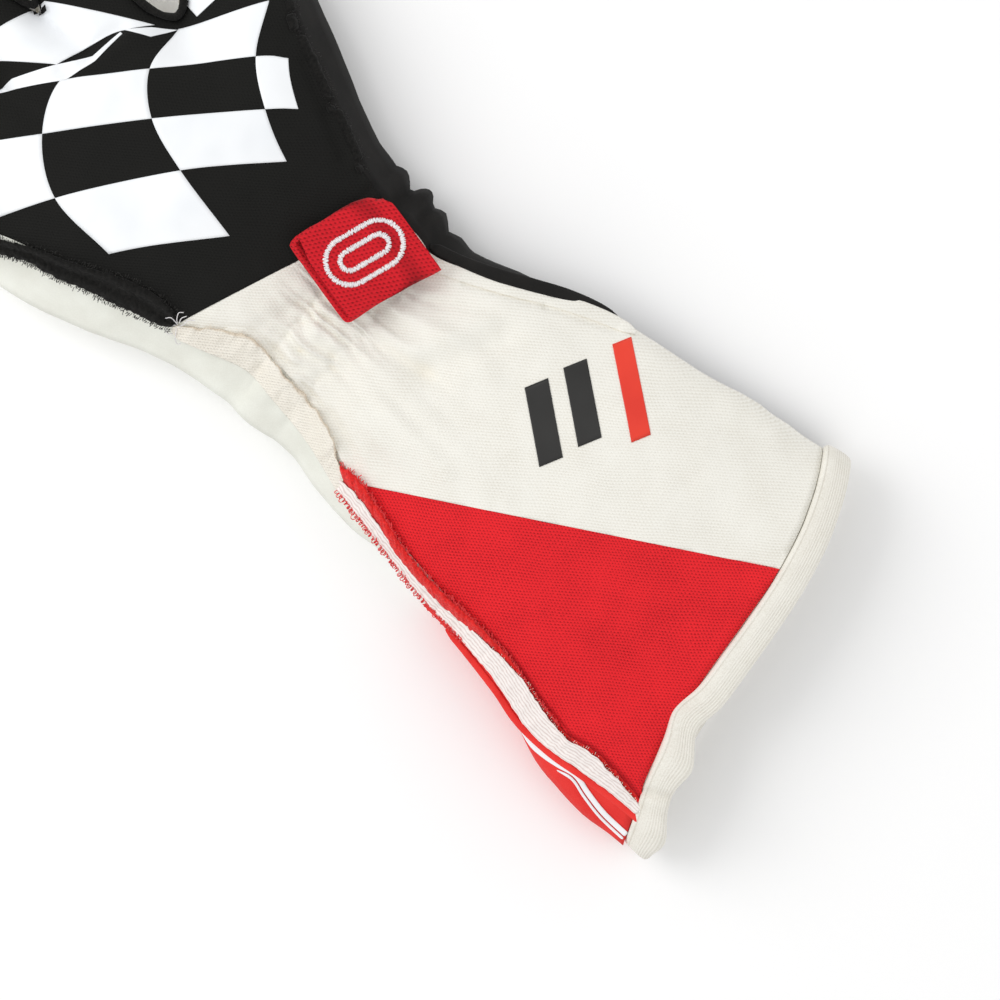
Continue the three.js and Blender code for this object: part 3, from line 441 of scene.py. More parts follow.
def outwards(place):
    """The direction away from the line through the middle of the cuff and the hand."""
    side = (place.x - wrist.x - axis_side) / cuff_half_width ** 2
    return Vector((side, 0, (place.z - axis_height) / cuff_half_height ** 2)).normalized()


def waves(place):
    """The cloth's way off its smooth form: a vector in metres, and how far in mm it is drawn in, which later
    paints shade into its colour.
    """
    x, y = (place.x - wrist.x) / mm, (place.y - wrist.y) / mm
    rest = smooth(place.z, 0.5 * mm, lie_height)
    if rest == 0:
        return Vector((0, 0, 0)), 0.0
    out = outwards(place)
    around = around_radius * math.atan2(place.z - axis_height, place.x - wrist.x - axis_side)
    on_back = smooth(x, *side_edge)  # the little finger's side is suede over no elastic, and lies even
    gathered = hump(y, gather_middle, gather_reach) * (0.12 + 0.88 * on_back)
    uneven = noise.noise(Vector((around / 6, y / 14, 1.7)))
    rise = pleat_rise * gathered * math.sin(2 * math.pi * around / pleat + 5 * uneven)
    rise += pucker_rise * gathered * noise.noise(Vector((around / 3.2, y / 4.0, 3.1)))
    long_fold = noise.noise(Vector((around / 5.5, y / 26, 5.3)))
    rise += long_fold_rise * hump(y, -16, 22) * (0.3 + 0.7 * on_back) * long_fold
    lobes = hump(around, 2, 15) * hump(y, 9, 11) * smooth(x, 20, 30)
    scallop = abs(math.cos(math.pi * (y - lobe_crest) / lobe))  # round crests with sharp valleys between
    rise += lobe_rise * lobes * (1.7 * scallop - 0.9)
    swell = noise.noise(Vector((x / 16, y / 16, 7.7)))
    ripple = noise.noise(Vector((x / 5, y / 5, 9.1)))
    rise += swell_rise * swell + ripple_rise * ripple
    for start, end, width, height in soft_folds:
        rise += height * math.exp(-((away_from(x, y, start, end) / width) ** 2))
    for stitched in gather_rows:
        rise -= stitch_dip * (0.1 + 0.9 * on_back) * hump(y + 2.5 * uneven, stitched, 0.9)
    painted_shade = 0.3 + 0.7 * hump(y, gather_middle, 2 * gather_reach)  # painted shade is strongest in the gathers
    return out * (rise * rest * mm), max(0.0, -rise * rest * painted_shade)


print("waves: pleats every", pleat, "mm, with", len(soft_folds), "soft folds")

# %% [markdown]
# A panel of the frame is a shell of flat facets. Its copy is merged at the corners, paired back into
# four-sided faces, and smoothed by a Subdivision Surface. The shell's rim is creased first, so that the cut
# edge of the cloth stays where it is and neighbouring panels still meet.

# %% dressing a panel
panel_levels = 3
rim_angle = math.radians(58)  # edges sharper than this lie along the shell's rim
rim_face = 30 * mm ** 2  # and the rim's own faces are smaller than this
half_gap = 0.15 * mm  # by which the frame holds each panel back from its neighbour
weld = 0.002 * mm  # corners nearer than this are one corner
pair_bend = math.radians(50)  # the most that two triangles of one four-sided face may bend and skew
pair_skew = math.radians(70)
facing = 0.4  # how far a normal agrees with the way out on a shell's outside


def piece(name, bm, material, slot=None, *nodes, inside=None):
    """Makes an object of a bmesh, rides it on the glove and hides the nodes that it stands for."""
    mesh = bpy.data.meshes.new(name)
    bm.to_mesh(mesh)
    bm.free()
    mesh.materials.append(material)
    if inside is not None:
        mesh.materials.append(inside)
    mesh.shade_smooth()
    made = bpy.data.objects.new(name, mesh)
    bpy.context.scene.collection.objects.link(made)
    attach(made, "root")
    if nodes:
        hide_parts(*nodes)
    print(name, len(mesh.polygons), "faces")
    return made


def merged(node):
    """A bmesh copy of a node, with its corners merged and its triangles paired."""
    bm = bmesh.new()
    bm.from_mesh(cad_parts[node].data)
    bmesh.ops.remove_doubles(bm, verts=bm.verts, dist=weld)
    bmesh.ops.join_triangles(
        bm, faces=bm.faces, angle_face_threshold=pair_bend, angle_shape_threshold=pair_skew
    )
    return bm


def close_gap(bm):
    """Pushes the rim of a panel out to its neighbour's."""
    sharp = {edge for edge in bm.edges if edge.is_manifold and edge.calc_face_angle() > rim_angle}
    pushes = {}
    for face in bm.faces:
        if sum(edge in sharp for edge in face.edges) >= 2 and face.calc_area() < rim_face:
            for corner in face.verts:
                pushes.setdefault(corner, []).append(face.normal.copy())
    for corner, ways in pushes.items():
        way = sum(ways, Vector()).normalized()
        corner.co += way * half_gap / max(0.5, way.dot(ways[0]))
        corner.co.z = max(corner.co.z, 0)
    return bm


def subdivided(bm, levels, crease_angle=None):
    """The same bmesh after a Subdivision Surface, with its sharp edges creased."""
    if crease_angle is not None:
        crease = bm.edges.layers.float.new("crease_edge")
        for edge in bm.edges:
            if edge.is_manifold and edge.calc_face_angle() > crease_angle:
                edge[crease] = 1.0
    mesh = bpy.data.meshes.new("draft")
    bm.to_mesh(mesh)
    bm.free()
    draft = bpy.data.objects.new("draft", mesh)
    bpy.context.scene.collection.objects.link(draft)
    smoother = draft.modifiers.new("smooth", "SUBSURF")
    smoother.levels = smoother.render_levels = levels
    finer = bmesh.new()
    finer.from_object(draft, bpy.context.evaluated_depsgraph_get())
    bpy.data.objects.remove(draft)
    bpy.data.meshes.remove(mesh)
    return finer


def wave_all(bm):
    """Moves every corner with the cloth, and keeps how far it is drawn in as a mask of painted shade."""
    drawn = bm.verts.layers.float.new("crease_shade")
    for corner in bm.verts:
        shift, depth = waves(corner.co)
        corner.co += shift
        corner.co.z = max(corner.co.z, 0)
        corner[drawn] = depth
    return bm


def panel(name, node, material, slot, levels=panel_levels):
    """The dressed copy of one panel, with the lining's knit on its inside."""
    bm = wave_all(subdivided(close_gap(merged(node)), levels, rim_angle))
    for face in bm.faces:
        if face.normal.dot(outwards(face.calc_center_median())) < -facing:
            face.material_index = 1
    return piece(name, bm, material, slot, node, inside=lining_knit)


# %% panels
panels = [
    panel("hand_back", "back_panel", black_knit, "black_knit"),
    panel("cuff_back_cloth", "cuff_back", cream_knit, "cream_knit"),
    panel("cuff_wedge_cloth", "cuff_wedge", red_knit, "red_knit"),
    panel("palm", "palm_panel", palm_suede, "black_suede", levels=2),
    panel("side", "side_panel", cream_suede, "cream_suede"),
    panel("side_end", "side_wedge", red_suede, "red_suede"),
]
for gap in ("little_ring", "ring_middle", "middle_index", "index_thumb"):
    panels.append(panel("gusset_cloth_" + gap, "gusset_" + gap, cream_knit, "cream_knit", levels=2))

# %% [markdown]
# Seams, print and thread have to lie on the dressed cloth, waves and all. A search tree over the outer faces
# of the panels quickly tells how high the cloth is at a place, and which way it faces there.

# %% where the cloth is
cloth_corners, cloth_faces = [], []
for dressed in panels:
    first = len(cloth_corners)
    cloth_corners += [corner.co.copy() for corner in dressed.data.vertices]
    for face in dressed.data.polygons:
        if face.normal.dot(outwards(face.center)) > facing:
            cloth_faces.append([first + corner for corner in face.vertices])
cloth = BVHTree.FromPolygons(cloth_corners, cloth_faces)
sky = 0.1  # metres over the floor, from where a ray looks down on the cloth
bare_height = 20 * mm  # taken as the cloth's height where a ray finds none
print("cloth tree:", len(cloth_faces), "faces")


def on_glove(x, y):
    """A place in mm from the wrist line's middle, at floor height."""
    return wrist + Vector((x, y, 0)) * mm


def seen_from_above(place, surface=cloth):
    """The point of a surface right under the sky at a place, or None beside it."""
    return surface.ray_cast(Vector((place.x, place.y, sky)), Vector((0, 0, -1)))[0]


def curve_point(four, share):
    """A point of the smooth curve through the middle two of four points."""
    a, b, c, d = four
    return 0.5 * (
        2 * b + (c - a) * share + (2 * a - 5 * b + 4 * c - d) * share ** 2
        + (3 * b - a - 3 * c + d) * share ** 3
    )


def spread(points, count):
    """count + 1 places spread evenly along the smooth curve through a few points."""
    ends = [2 * points[0] - points[1]] + points + [2 * points[-1] - points[-2]]
    parts = 16  # fine steps between two of the points
    fine = [curve_point(ends[i:i + 4], part / parts) for i in range(len(points) - 1) for part in range(parts)]
    fine.append(points[-1])
    gone = [0.0]
    for before, after in zip(fine, fine[1:]):
        gone.append(gone[-1] + (after - before).length)
    places, index = [], 0
    for number in range(count + 1):
        goal = gone[-1] * number / count
        while index < len(fine) - 2 and gone[index + 1] < goal:
            index += 1
        share = (goal - gone[index]) / max(gone[index + 1] - gone[index], 1e-9)
        places.append(fine[index].lerp(fine[index + 1], min(1.0, share)))
    return places


# %% [markdown]
# The seams of this glove are sewn outside, so the cut plies of the cloth stand up along them. A ply is
# described by its two edges as seen from above, each a short row of places, and by a section: pairs of the
# share of the way from the outer to the inner edge and the height over the cloth. A grid is bent round that
# section, so the ply is a closed, flat tube. Noise in it gives the nubs of the cut yarn.

# %% plies
end_taper = 3.0  # mm over which a ply grows to its full section
hidden_taper = 0.5  # the same where its end lies under another piece
ply_step = 0.55  # mm
steepest = 0.5  # mm of fall for each mm across, where a ply reaches out past the cloth


def table_rails(outer, inner):
    """Pairs of places on the cloth along a ply's two edges, with the way up, from two tables in mm."""
    lows = [on_glove(*place) for place in outer]
    highs = [on_glove(*place) for place in inner]
    length = max(sum((b - a).length for a, b in zip(line, line[1:])) for line in (lows, highs))
    count = round(length / (ply_step * mm))
    rails, last = [], bare_height
    for low, high in zip(spread(lows, count), spread(highs, count)):
        top = seen_from_above(high)
        high.z = last = top.z if top else last
        foot = seen_from_above(low)
        low.z = max(foot.z if foot else 0, high.z - steepest * (high - low).xy.length)
        rails.append((low, high, Vector((0, 0, 1))))
    return rails


def node_rails(node, width, turn=0.0, start=None):
    """The same from a seam bar of the frame, whose stations are four corners each."""
    bm = merged(node)
    way = Vector((math.sin(turn), math.cos(turn), 0))
    corners = sorted((corner.co.copy() for corner in bm.verts), key=lambda place: place.dot(way))
    bm.free()
    middles = []
    for first in range(0, len(corners) - 3, 4):
        four = sorted(corners[first:first + 4], key=lambda place: cloth.find_nearest(place)[3])
        middle = (four[0] + four[1]) / 2
        if start is None or middle.y > on_glove(0, start).y:
            middles.append(middle)
    length = sum((b - a).length for a, b in zip(middles, middles[1:]))
    places = spread(middles, round(length / (ply_step * mm)))
    rails = []
    for index, place in enumerate(places):
        onwards = (places[min(index + 1, len(places) - 1)] - places[max(index - 1, 0)]).normalized()
        foot, normal, _, _ = cloth.find_nearest(place)
        across = onwards.cross(normal).normalized() * width / 2 * mm
        rails.append((cloth.find_nearest(foot - across)[0], cloth.find_nearest(foot + across)[0], normal))
    return rails


def ply(name, rails, section, material, slot, *nodes, nub=0.25, nub_size=1.1, height=None, seed=0.0,
        tapers=(end_taper, end_taper), shaded=(0.0, 0.0, 1.0)):
    """A seam's ply between two rails. height scales its section by the share of the way along.

    shaded is how much painted shade it gets between two shares of the way across.
    """
    around, count = len(section), len(rails) - 1
    bm = bmesh.new()
    bmesh.ops.create_grid(bm, x_segments=count, y_segments=around, size=0.5)
    drawn = bm.verts.layers.float.new("crease_shade")
    across = bm.verts.layers.float.new("across")
    gone = [0.0]
    for before, after in zip(rails, rails[1:]):
        gone.append(gone[-1] + (after[1] - before[1]).length / mm)
    for corner in bm.verts:
        index = round((corner.co.x + 0.5) * count)
        share, lift = section[round((corner.co.y + 0.5) * around) % around]
        low, high, way_up = rails[index]
        far = gone[index]
        grown = math.sqrt(max(0.0, min(1.0, far / tapers[0], (gone[-1] - far) / tapers[1])))
        width = (high - low).length / mm
        out = 0.5 + (share - 0.5) * grown
        lift *= grown * (height(far / gone[-1]) if height else 1.0)
        top = smooth(lift, 0.1, 0.8)
        spot = Vector((far / nub_size, share * width / nub_size + seed, lift / nub_size))
        lift += nub * top * (1.6 * noise.noise(spot) + 1.0 * noise.noise(spot * 2.3))
        ragged = 1.8 * noise.noise(spot + Vector((31, 7, 3))) + 1.6 * noise.noise(spot * 2.1)
        out += nub / width * top * ragged
        place = low.lerp(high, out)
        ground, normal, _, _ = cloth.find_nearest(place)
        sunk = (ground - place).dot(normal)
        if sunk > 0:
            place += normal * sunk
        corner.co = place + way_up * lift * mm
        corner.co.z = max(corner.co.z, 0)
        # Painted shade: low and downward parts of the ply are darkened, and more so between the shares given
        # by shaded.
        corner[drawn] = max(0.0, 0.35 - lift) + shaded[0] * smooth(share, shaded[1], shaded[2])
        corner[across] = share * width
    bmesh.ops.remove_doubles(bm, verts=bm.verts, dist=0.01 * mm)
    bmesh.ops.recalc_face_normals(bm, faces=bm.faces)
    return piece(name, subdivided(bm, 1), material, slot, *nodes)


# %% seam on the hand
# Black, 5 to 7 mm wide: a fold along its inner edge, a groove where it is sewn, and raw yarn outside
hand_ridge = [
    (0.0, -0.3), (-0.04, 0.8), (0.08, 1.7), (0.24, 1.9), (0.38, 1.1), (0.5, 0.7),
    (0.62, 1.2), (0.76, 1.9), (0.9, 1.7), (1.0, 0.7), (1.0, -0.3),
]
hand_outer = [
    (-28.3, 33.5), (-30.3, 41), (-32.6, 49), (-34.4, 56), (-36.9, 63), (-38.6, 71), (-42.5, 79), (-46, 86),
]
hand_inner = [
    (-24.4, 33.0), (-23.6, 39.7), (-24.6, 46), (-27.4, 54), (-31.4, 63), (-34.9, 72), (-39.2, 81), (-43, 88),
]
hand_rails = table_rails(hand_outer, hand_inner)
ply("hand_seam_edge", hand_rails, hand_ridge, black_raw, "black_knit", "hand_seam", nub=0.42, nub_size=0.9)

low_seam = [(0.0, -0.3), (0.1, 0.7), (0.35, 1.3), (0.65, 1.3), (0.9, 0.7), (1.0, -0.3)]
ply("little_finger_seam_edge", node_rails("hand_seam", 3.6, math.radians(-12), start=84), low_seam, black_raw,
    "black_knit", nub=0.25)
thumb_rails = node_rails("radial_hand_seam", 4.0, math.radians(20))
ply("thumb_seam_edge", thumb_rails, low_seam, black_raw, "black_knit", "radial_hand_seam", nub=0.25)
crotch_growth = 0.45 * mm  # by which these seams cover the gussets' edges
for seam in ("seam_little_ring", "seam_ring_middle", "seam_middle_index", "seam_index_thumb"):
    bm = wave_all(subdivided(merged(seam), 2))
    bm.normal_update()
    for corner in bm.verts:
        fuzz = noise.noise(corner.co / (1.1 * mm))
        corner.co += corner.normal * crotch_growth * (1 + 0.8 * fuzz)
        corner.co.z = max(corner.co.z, 0)
    piece(seam + "_edge", bm, black_raw, "black_knit", seam)

# %% edge at the thumb's side of the cuff
# Here the palm's suede is turned up and laid over the cream cloth, a thin strip with no ridge
turned_up_inner = [(28.2, -1), (30.3, -9), (33.2, -18), (37.4, -27), (41.5, -35), (44.6, -42), (46.6, -48)]
turned_up_outer = [(31.2, 0), (33.6, -9), (37.0, -17.5), (41.0, -26), (44.6, -34), (47.0, -41.5), (48.0, -48)]
thin_strip = [(0.0, -0.6), (0.0, 0.1), (0.3, 0.35), (0.7, 0.45), (1.0, 0.4), (1.0, -0.6)]
ply("thumb_cuff_seam_edge", table_rails(turned_up_outer, turned_up_inner), thin_strip, palm_suede,
    "black_suede", "radial_cuff_seam", nub=0.05)

# The allowance of that seam is stitched down beside it, and shows as a flat band of the cuff's own knit
allowance_inner = [
    (24.6, -4), (28.3, -13.5), (32.6, -23), (37.3, -32.2), (41.2, -41), (44.5, -49.7), (46.0, -54),
]
allowance_outer = [
    (29.0, -4), (32.4, -13.5), (36.6, -22), (41.0, -30.5), (44.8, -39), (47.4, -47), (48.4, -54),
]
flat_allowance = [(0.0, -0.6), (0.0, 0.05), (0.5, 0.2), (0.9, 0.42), (1.0, 0.3), (1.0, -0.6)]
# Painted shadow: the band's inner edge is darkened into a line.
ply("thumb_cuff_allowance", table_rails(allowance_outer, allowance_inner), flat_allowance, cream_knit,
    "cream_knit", nub=0.03, shaded=(1.8, 0.9, 1.0))

# %% [markdown]
# At the wrist the seam allowance is rolled over towards the little finger. It rises slowly from the side
# panel to a crest that hangs over the back of the cuff, and painted shade darkens the crest and the curl
# under it to a light brown.

# %% seam at the wrist
rolled = [
    (0.0, -0.3), (0.02, 0.25), (0.2, 0.7), (0.45, 1.2), (0.7, 1.8), (0.88, 2.3), (1.0, 2.2),
    (1.05, 1.5), (0.98, 0.7), (0.9, -0.3),
]
wrist_outer = [
    (-29.6, 34), (-28.8, 30), (-27.0, 24), (-25.0, 18), (-23.8, 12),
    (-25.0, 4), (-26.4, -5), (-28.0, -12), (-30.2, -19), (-32.2, -25),
]
wrist_inner = [
    (-25.6, 34), (-24.2, 30), (-20.0, 24), (-17.0, 18), (-17.2, 12),
    (-18.4, 3), (-19.8, -6), (-21.8, -13), (-25.6, -18.5), (-28.8, -25),
]
wrist_rails = table_rails(wrist_outer, wrist_inner)


def wrist_height(share):
    """Low beside the black seam and at the cuff's red rim, and rolled highest in the gathers."""
    gathered = 0.65 * smooth(share, 0.1, 0.35) * (1 - 0.6 * smooth(share, 0.8, 1.0))
    return 0.35 + gathered + 0.1 * math.sin(27 * share)


# shaded paints brown shade onto the crest and the curl under it
ply("wrist_seam_edge", wrist_rails, rolled, worn_knit, "cream_knit", "wrist_seam",
    nub=0.5, nub_size=2.6, height=wrist_height, shaded=(2.2, 0.85, 1.02))

# The cuff's own cloth runs on under the roll, so that no side cloth shows beside it
cuff_edge_outer = [(x - 1.5, y) for x, y in wrist_inner[2:9]]
cuff_edge_inner = [(x + 2.2, y) for x, y in wrist_inner[2:9]]
tucked_edge = [(0.0, -0.4), (0.0, 0.3), (0.5, 0.35), (1.0, 0.05), (1.0, -0.4)]
ply("cuff_edge_cloth", table_rails(cuff_edge_outer, cuff_edge_inner), tucked_edge, cream_knit, "cream_knit",
    nub=0.0)

# %% [markdown]
# On the cuff three plies show side by side. The wedge's own red edge is inside, a bright nubby rim. On it
# lies the cream lining with its courses edge on, a flat band that widens and waves towards the hem and
# whose inner edge stands up. The side's edge is outside: overlock thread first, then a folded red rim.

# %% seam on the cuff
lining_outer = [
    (-30.9, -21), (-32.4, -28), (-34.0, -36), (-35.8, -45), (-37.4, -53),
    (-38.3, -61), (-39.0, -70), (-40.6, -81), (-42.9, -90), (-44.8, -97),
    (-45.2, -106), (-44.2, -114), (-43.5, -122), (-43.3, -128.5), (-43.4, -132.3),
]
lining_inner = [
    (-28.4, -21), (-29.0, -28), (-30.7, -36), (-33.2, -45), (-34.6, -53),
    (-35.3, -61), (-35.4, -70), (-35.6, -81), (-36.8, -90), (-38.7, -97),
    (-40.3, -106), (-39.0, -114), (-39.6, -122), (-40.5, -128.5), (-41.0, -132.3),
]
rim_inner = [
    (-26.2, -17.5), (-25.6, -25), (-27.8, -34), (-30.8, -44), (-32.5, -53),
    (-33.1, -61), (-33.2, -70), (-34.1, -81), (-36.2, -90), (-38.0, -97),
    (-39.3, -106), (-38.2, -114), (-38.4, -122), (-39.5, -128.5), (-40.0, -131.8),
]
side_rim_outer = [
    (-40.5, -66), (-42.2, -76), (-44.2, -86), (-46.5, -95),
    (-46.9, -106), (-45.8, -116), (-44.9, -126), (-44.8, -134.5),
]
side_rim_inner = [
    (-39.0, -66), (-40.4, -76), (-42.3, -86), (-44.6, -95),
    (-45.0, -106), (-43.8, -116), (-43.0, -126), (-43.0, -134.5),
]
flat_band = [
    (0.0, 0.0), (-0.02, 0.7), (0.08, 1.1), (0.2, 1.2), (0.35, 1.15), (0.5, 1.3), (0.65, 1.7),
    (0.8, 2.2), (0.92, 2.7), (1.0, 2.9), (1.04, 2.4), (0.9, 1.5), (0.6, 0.7), (0.3, 0.2),
]
rim = [(-0.3, 0.0), (-0.2, 1.2), (0.15, 2.2), (0.5, 2.6), (0.85, 2.4), (1.05, 1.5), (1.0, -0.3)]
low_rim = [(0.0, -0.4), (-0.05, 0.2), (0.2, 0.5), (0.6, 0.6), (1.0, 0.5), (1.0, -0.4)]
turned_edge = [(0.0, -0.4), (0.0, 0.0), (0.2, 0.3), (0.6, 0.4), (1.0, 0.3), (1.0, -0.4)]


def rim_height(share):
    """The red rim is full at the wrist, and sinks under the lining towards the hem."""
    return 1.0 - 0.62 * smooth(share, 0.5, 0.72) - 0.2 * smooth(share, 0.92, 1.0)


def lining_height(share):
    """The lining lies down where it runs under the tape."""
    return 1.0 - 0.65 * smooth(share, 0.9, 0.99)


lining_rails = table_rails(lining_outer, lining_inner)
rim_rails = table_rails(lining_inner, rim_inner)
side_rails = table_rails(side_rim_outer, side_rim_inner)
to_the_tape = (end_taper, hidden_taper)
ply("cuff_lining_ply", lining_rails, flat_band, lining_raw, "cream_knit", "cuff_seam_lining",
    nub=0.26, nub_size=1.7, height=lining_height, tapers=to_the_tape)
ply("cuff_inner_ply", rim_rails, rim, red_raw, "red_knit", "cuff_seam_inner",
    nub=0.55, nub_size=1.0, height=rim_height, seed=5.0, tapers=to_the_tape)
ply("cuff_outer_ply", side_rails, low_rim, red_suede, "red_suede", "cuff_seam_outer",
    nub=0.1, nub_size=1.6, seed=9.0, tapers=to_the_tape)

# The wedge's own cloth runs on under the rims as well, darkened towards them with a painted shadow of the rim
wedge_edge_inner = [(x + 2.6, y) for x, y in rim_inner[2:]]
wedge_rails = table_rails(wedge_edge_inner, lining_inner[2:])
ply("wedge_edge_cloth", wedge_rails, turned_edge, red_knit, "red_knit", nub=0.0, tapers=to_the_tape,
    shaded=(2.6, 0.05, 0.5))

# %% [markdown]
# Thread is a curve with a round bevel, turned into a mesh. Two overlock threads loop round the raw edge,
# one every 1.3 mm and one every 1.0 mm, so their paths are curly cycloids. Loose fibres are short bent hairs
# with random ends. A single hair is too thin to show, so each stands for a small bundle of them.

# %% threads
rng = random.Random(12)
steps_per_loop = 12  # points of an overlock loop
red_radius = 0.12  # mm, of the overlock thread and the fibres of the red rim
black_radius = 0.08
cream_radius = 0.06


def threads(name, paths, radius, material):
    """One piece of many round threads, each along its own row of places."""
    strands = bpy.data.curves.new(name, "CURVE")
    strands.dimensions = "3D"
    strands.bevel_depth = radius * mm
    strands.bevel_resolution = 0
    strands.use_fill_caps = True
    for path in paths:
        spline = strands.splines.new("POLY")
        spline.points.add(len(path) - 1)
        for point, place in zip(spline.points, path):
            point.co = (*place, 1)
    holder = bpy.data.objects.new(name + "_path", strands)
    mesh = bpy.data.meshes.new_from_object(holder)
    bm = bmesh.new()
    bm.from_mesh(mesh)
    bpy.data.objects.remove(holder)
    bpy.data.curves.remove(strands)
    bpy.data.meshes.remove(mesh)
    bmesh.ops.recalc_face_normals(bm, faces=bm.faces)
    return piece(name, bm, material)


def overlock(rails, first, last, reach, lift, pitch):
    """The path of a looping thread round a ply's outer edge, between two shares of its length."""
    count = len(rails) - 1
    edge = [low for low, _, _ in rails[round(first * count):round(last * count) + 1]]
    length = sum((b - a).length for a, b in zip(edge, edge[1:])) / mm
    steps = round(length / pitch * steps_per_loop)
    way_up = rails[round(first * count)][2]
    onwards = Vector((0.18, 1, 0)).normalized()  # along the cuff's edge, and square to it
    outside = Vector((-1, 0.18, 0)).normalized()
    path = []
    for index, place in enumerate(spread(edge, steps)):
        turn = 2 * math.pi * index / steps_per_loop + 2.5 * noise.noise(place / (2 * mm))
        size = max(0.25, 0.9 + 1.1 * noise.noise(place / (1.7 * mm) + Vector((5, 5, 5 * pitch))))
        path.append(
            place
            + outside * (0.1 + reach * size * math.cos(turn)) * mm
            + onwards * 0.8 * reach * size * math.sin(turn) * mm
            + way_up * (lift + 0.35 * math.sin(2 * turn)) * mm
        )
    return path


def fibres(rails, first, last, number, edge, lift, length):
    """Short bent hairs along one edge of a ply, 0 for the outer and 1 for the inner one."""
    count = len(rails) - 1
    paths = []
    for _ in range(number):
        low, high, way_up = rails[round(rng.uniform(first, last) * count)]
        root = low.lerp(high, edge + rng.uniform(-0.12, 0.12)) + way_up * lift * rng.uniform(0.5, 1.1) * mm
        out = (high - low).normalized() * (1 if edge > 0.5 else -1)
        way = (out * rng.uniform(0.1, 1.0) + way_up * rng.uniform(-0.2, 0.8)).normalized()
        bend = Vector((rng.uniform(-1, 1), rng.uniform(-1, 1), rng.uniform(-0.6, 0.6)))
        reach = length * rng.uniform(0.4, 1.2) * mm
        paths.append([root + way * reach * t + bend * reach * 0.7 * t * t for t in (0, 0.35, 0.7, 1)])
    return paths


threads("overlock_thread", [
    overlock(lining_rails, 0.02, 0.46, 0.72, 1.0, pitch=1.3),
    overlock(lining_rails, 0.03, 0.45, 0.55, 1.2, pitch=1.0),
], red_radius, red_thread)
threads("red_fibres", fibres(rim_rails, 0.02, 0.75, 520, 1, 1.7, 0.8), red_radius, red_thread)
threads("black_fibres",
        fibres(hand_rails, 0.0, 1.0, 620, 0, 1.4, 0.6) + fibres(hand_rails, 0.0, 1.0, 260, 1, 1.5, 0.5)
        + fibres(thumb_rails, 0.0, 0.5, 160, 1, 1.1, 0.5),
        black_radius, black_thread)
threads("cream_fibres",
        fibres(wrist_rails, 0.05, 1.0, 160, 1, 1.5, 0.4) + fibres(lining_rails, 0.05, 1.0, 360, 1, 2.4, 0.45),
        cream_radius, cream_thread)

# %% [markdown]
# Where the black seam ends at the wrist, the cut ends of its white thread are left as long loose tails.

# %% loose tails
tails = [
    [(-26.5, 33.5), (-27.5, 34.6), (-28.8, 34.9), (-29.4, 33.8), (-28.6, 32.9)],
    [(-26.2, 33.2), (-24.8, 34.2), (-23.6, 34.6), (-22.8, 33.8)],
    [(-26.4, 32.8), (-25.0, 31.9), (-23.4, 31.6), (-22.4, 30.4)],
    [(-26.8, 33.0), (-28.2, 32.1), (-29.3, 31.5), (-29.8, 30.4), (-29.0, 29.8)],
    [(-26.0, 33.2), (-25.8, 35.2), (-26.8, 36.4)],
    [(-25.4, 33.0), (-24.2, 33.2), (-23.0, 32.6)],
]
tail_steps = 24
tail_arch = 0.8  # mm by which a tail's middle stands up
tail_radius = 0.11
tail_lift = 1.6  # mm over the cloth for the first tail
tail_over_tail = 0.15  # and how much more for each next one


def laid(points, lift):
    """A thread's path over the cloth, its middle raised a little."""
    path = []
    places = spread([on_glove(*place) for place in points], tail_steps)
    for index, place in enumerate(places):
        top = seen_from_above(place)
        arch = tail_arch * math.sin(math.pi * index / tail_steps)
        place.z = (top.z if top else bare_height) + (lift + arch) * mm
        path.append(place)
    return path


tail_paths = [laid(tail, tail_lift + tail_over_tail * index) for index, tail in enumerate(tails)]
threads("loose_tails", tail_paths, tail_radius, white_thread)

# %% [markdown]
# The binding is a cream tape folded over the hem. The frame's tape follows the hem in even curves. Here it
# is smoothed, bent in its own plane as the real one is near the little finger's corner, and creased there.
# The "across" attribute keeps the distance from its inner edge in millimetres, along which its ribs lie.

# %% binding
hem_half_width = 54.25  # mm, as are all sizes and places in this cell
hem_centre = 2.72
hem_slant = 14
hem_place = -121.5
tape_width = 8
upper_side = (8, 16)  # heights between which the tape's upper side begins
corner_crease = -36.0
crease_lean = 0.45  # across the glove for each mm towards the hem
crease_depth = 1.3
crease_lip = 0.7
tape_ripple = 0.35
ripple_length = 7
# Bends of the tape: x of the middle, width, and how far its inner and its outer edge move towards the hand
tape_bends = [(-17, 5.5, 2.3, 1.9), (-26, 4.5, 0.3, -2.0), (-44, 5.0, 0.0, -2.4)]


def hem_line(x):
    """Y of the hem at a place across the cuff, in mm."""
    u = (x - hem_centre) / hem_half_width
    return hem_slant * (u + 2 * u ** 3) / 3 + hem_place


bm = subdivided(merged("cuff_binding"), 3)
across = bm.verts.layers.float.new("across")
for corner in bm.verts:
    x, y = (corner.co.x - wrist.x) / mm, (corner.co.y - wrist.y) / mm
    from_hem = hem_line(x) - y
    corner[across] = from_hem
    upper = smooth(corner.co.z / mm, *upper_side)
    share = min(1.0, max(0.0, from_hem / tape_width))
    for middle, width, inner_move, outer_move in tape_bends:
        move = inner_move + (outer_move - inner_move) * share
        corner.co.y += move * hump(x, middle, width) * upper * mm
    corner.co.z += upper * (0.9 * hump(x, -27, 5) - 0.6 * hump(x, -17, 4)) * mm
    crease_at = corner_crease + crease_lean * (from_hem - tape_width / 2)
    corner.co.z -= crease_depth * hump(x, crease_at, 0.9) * upper * mm
    corner.co.z += crease_lip * hump(x, crease_at - 2.4, 1.6) * upper * mm
    ripple = noise.noise(Vector((x / ripple_length, y / ripple_length, corner.co.z / mm / ripple_length)))
    corner.co.z = max(0, corner.co.z + tape_ripple * ripple * upper * mm)
piece("binding_tape", bm, tape, "ribbed_tape", "cuff_binding")

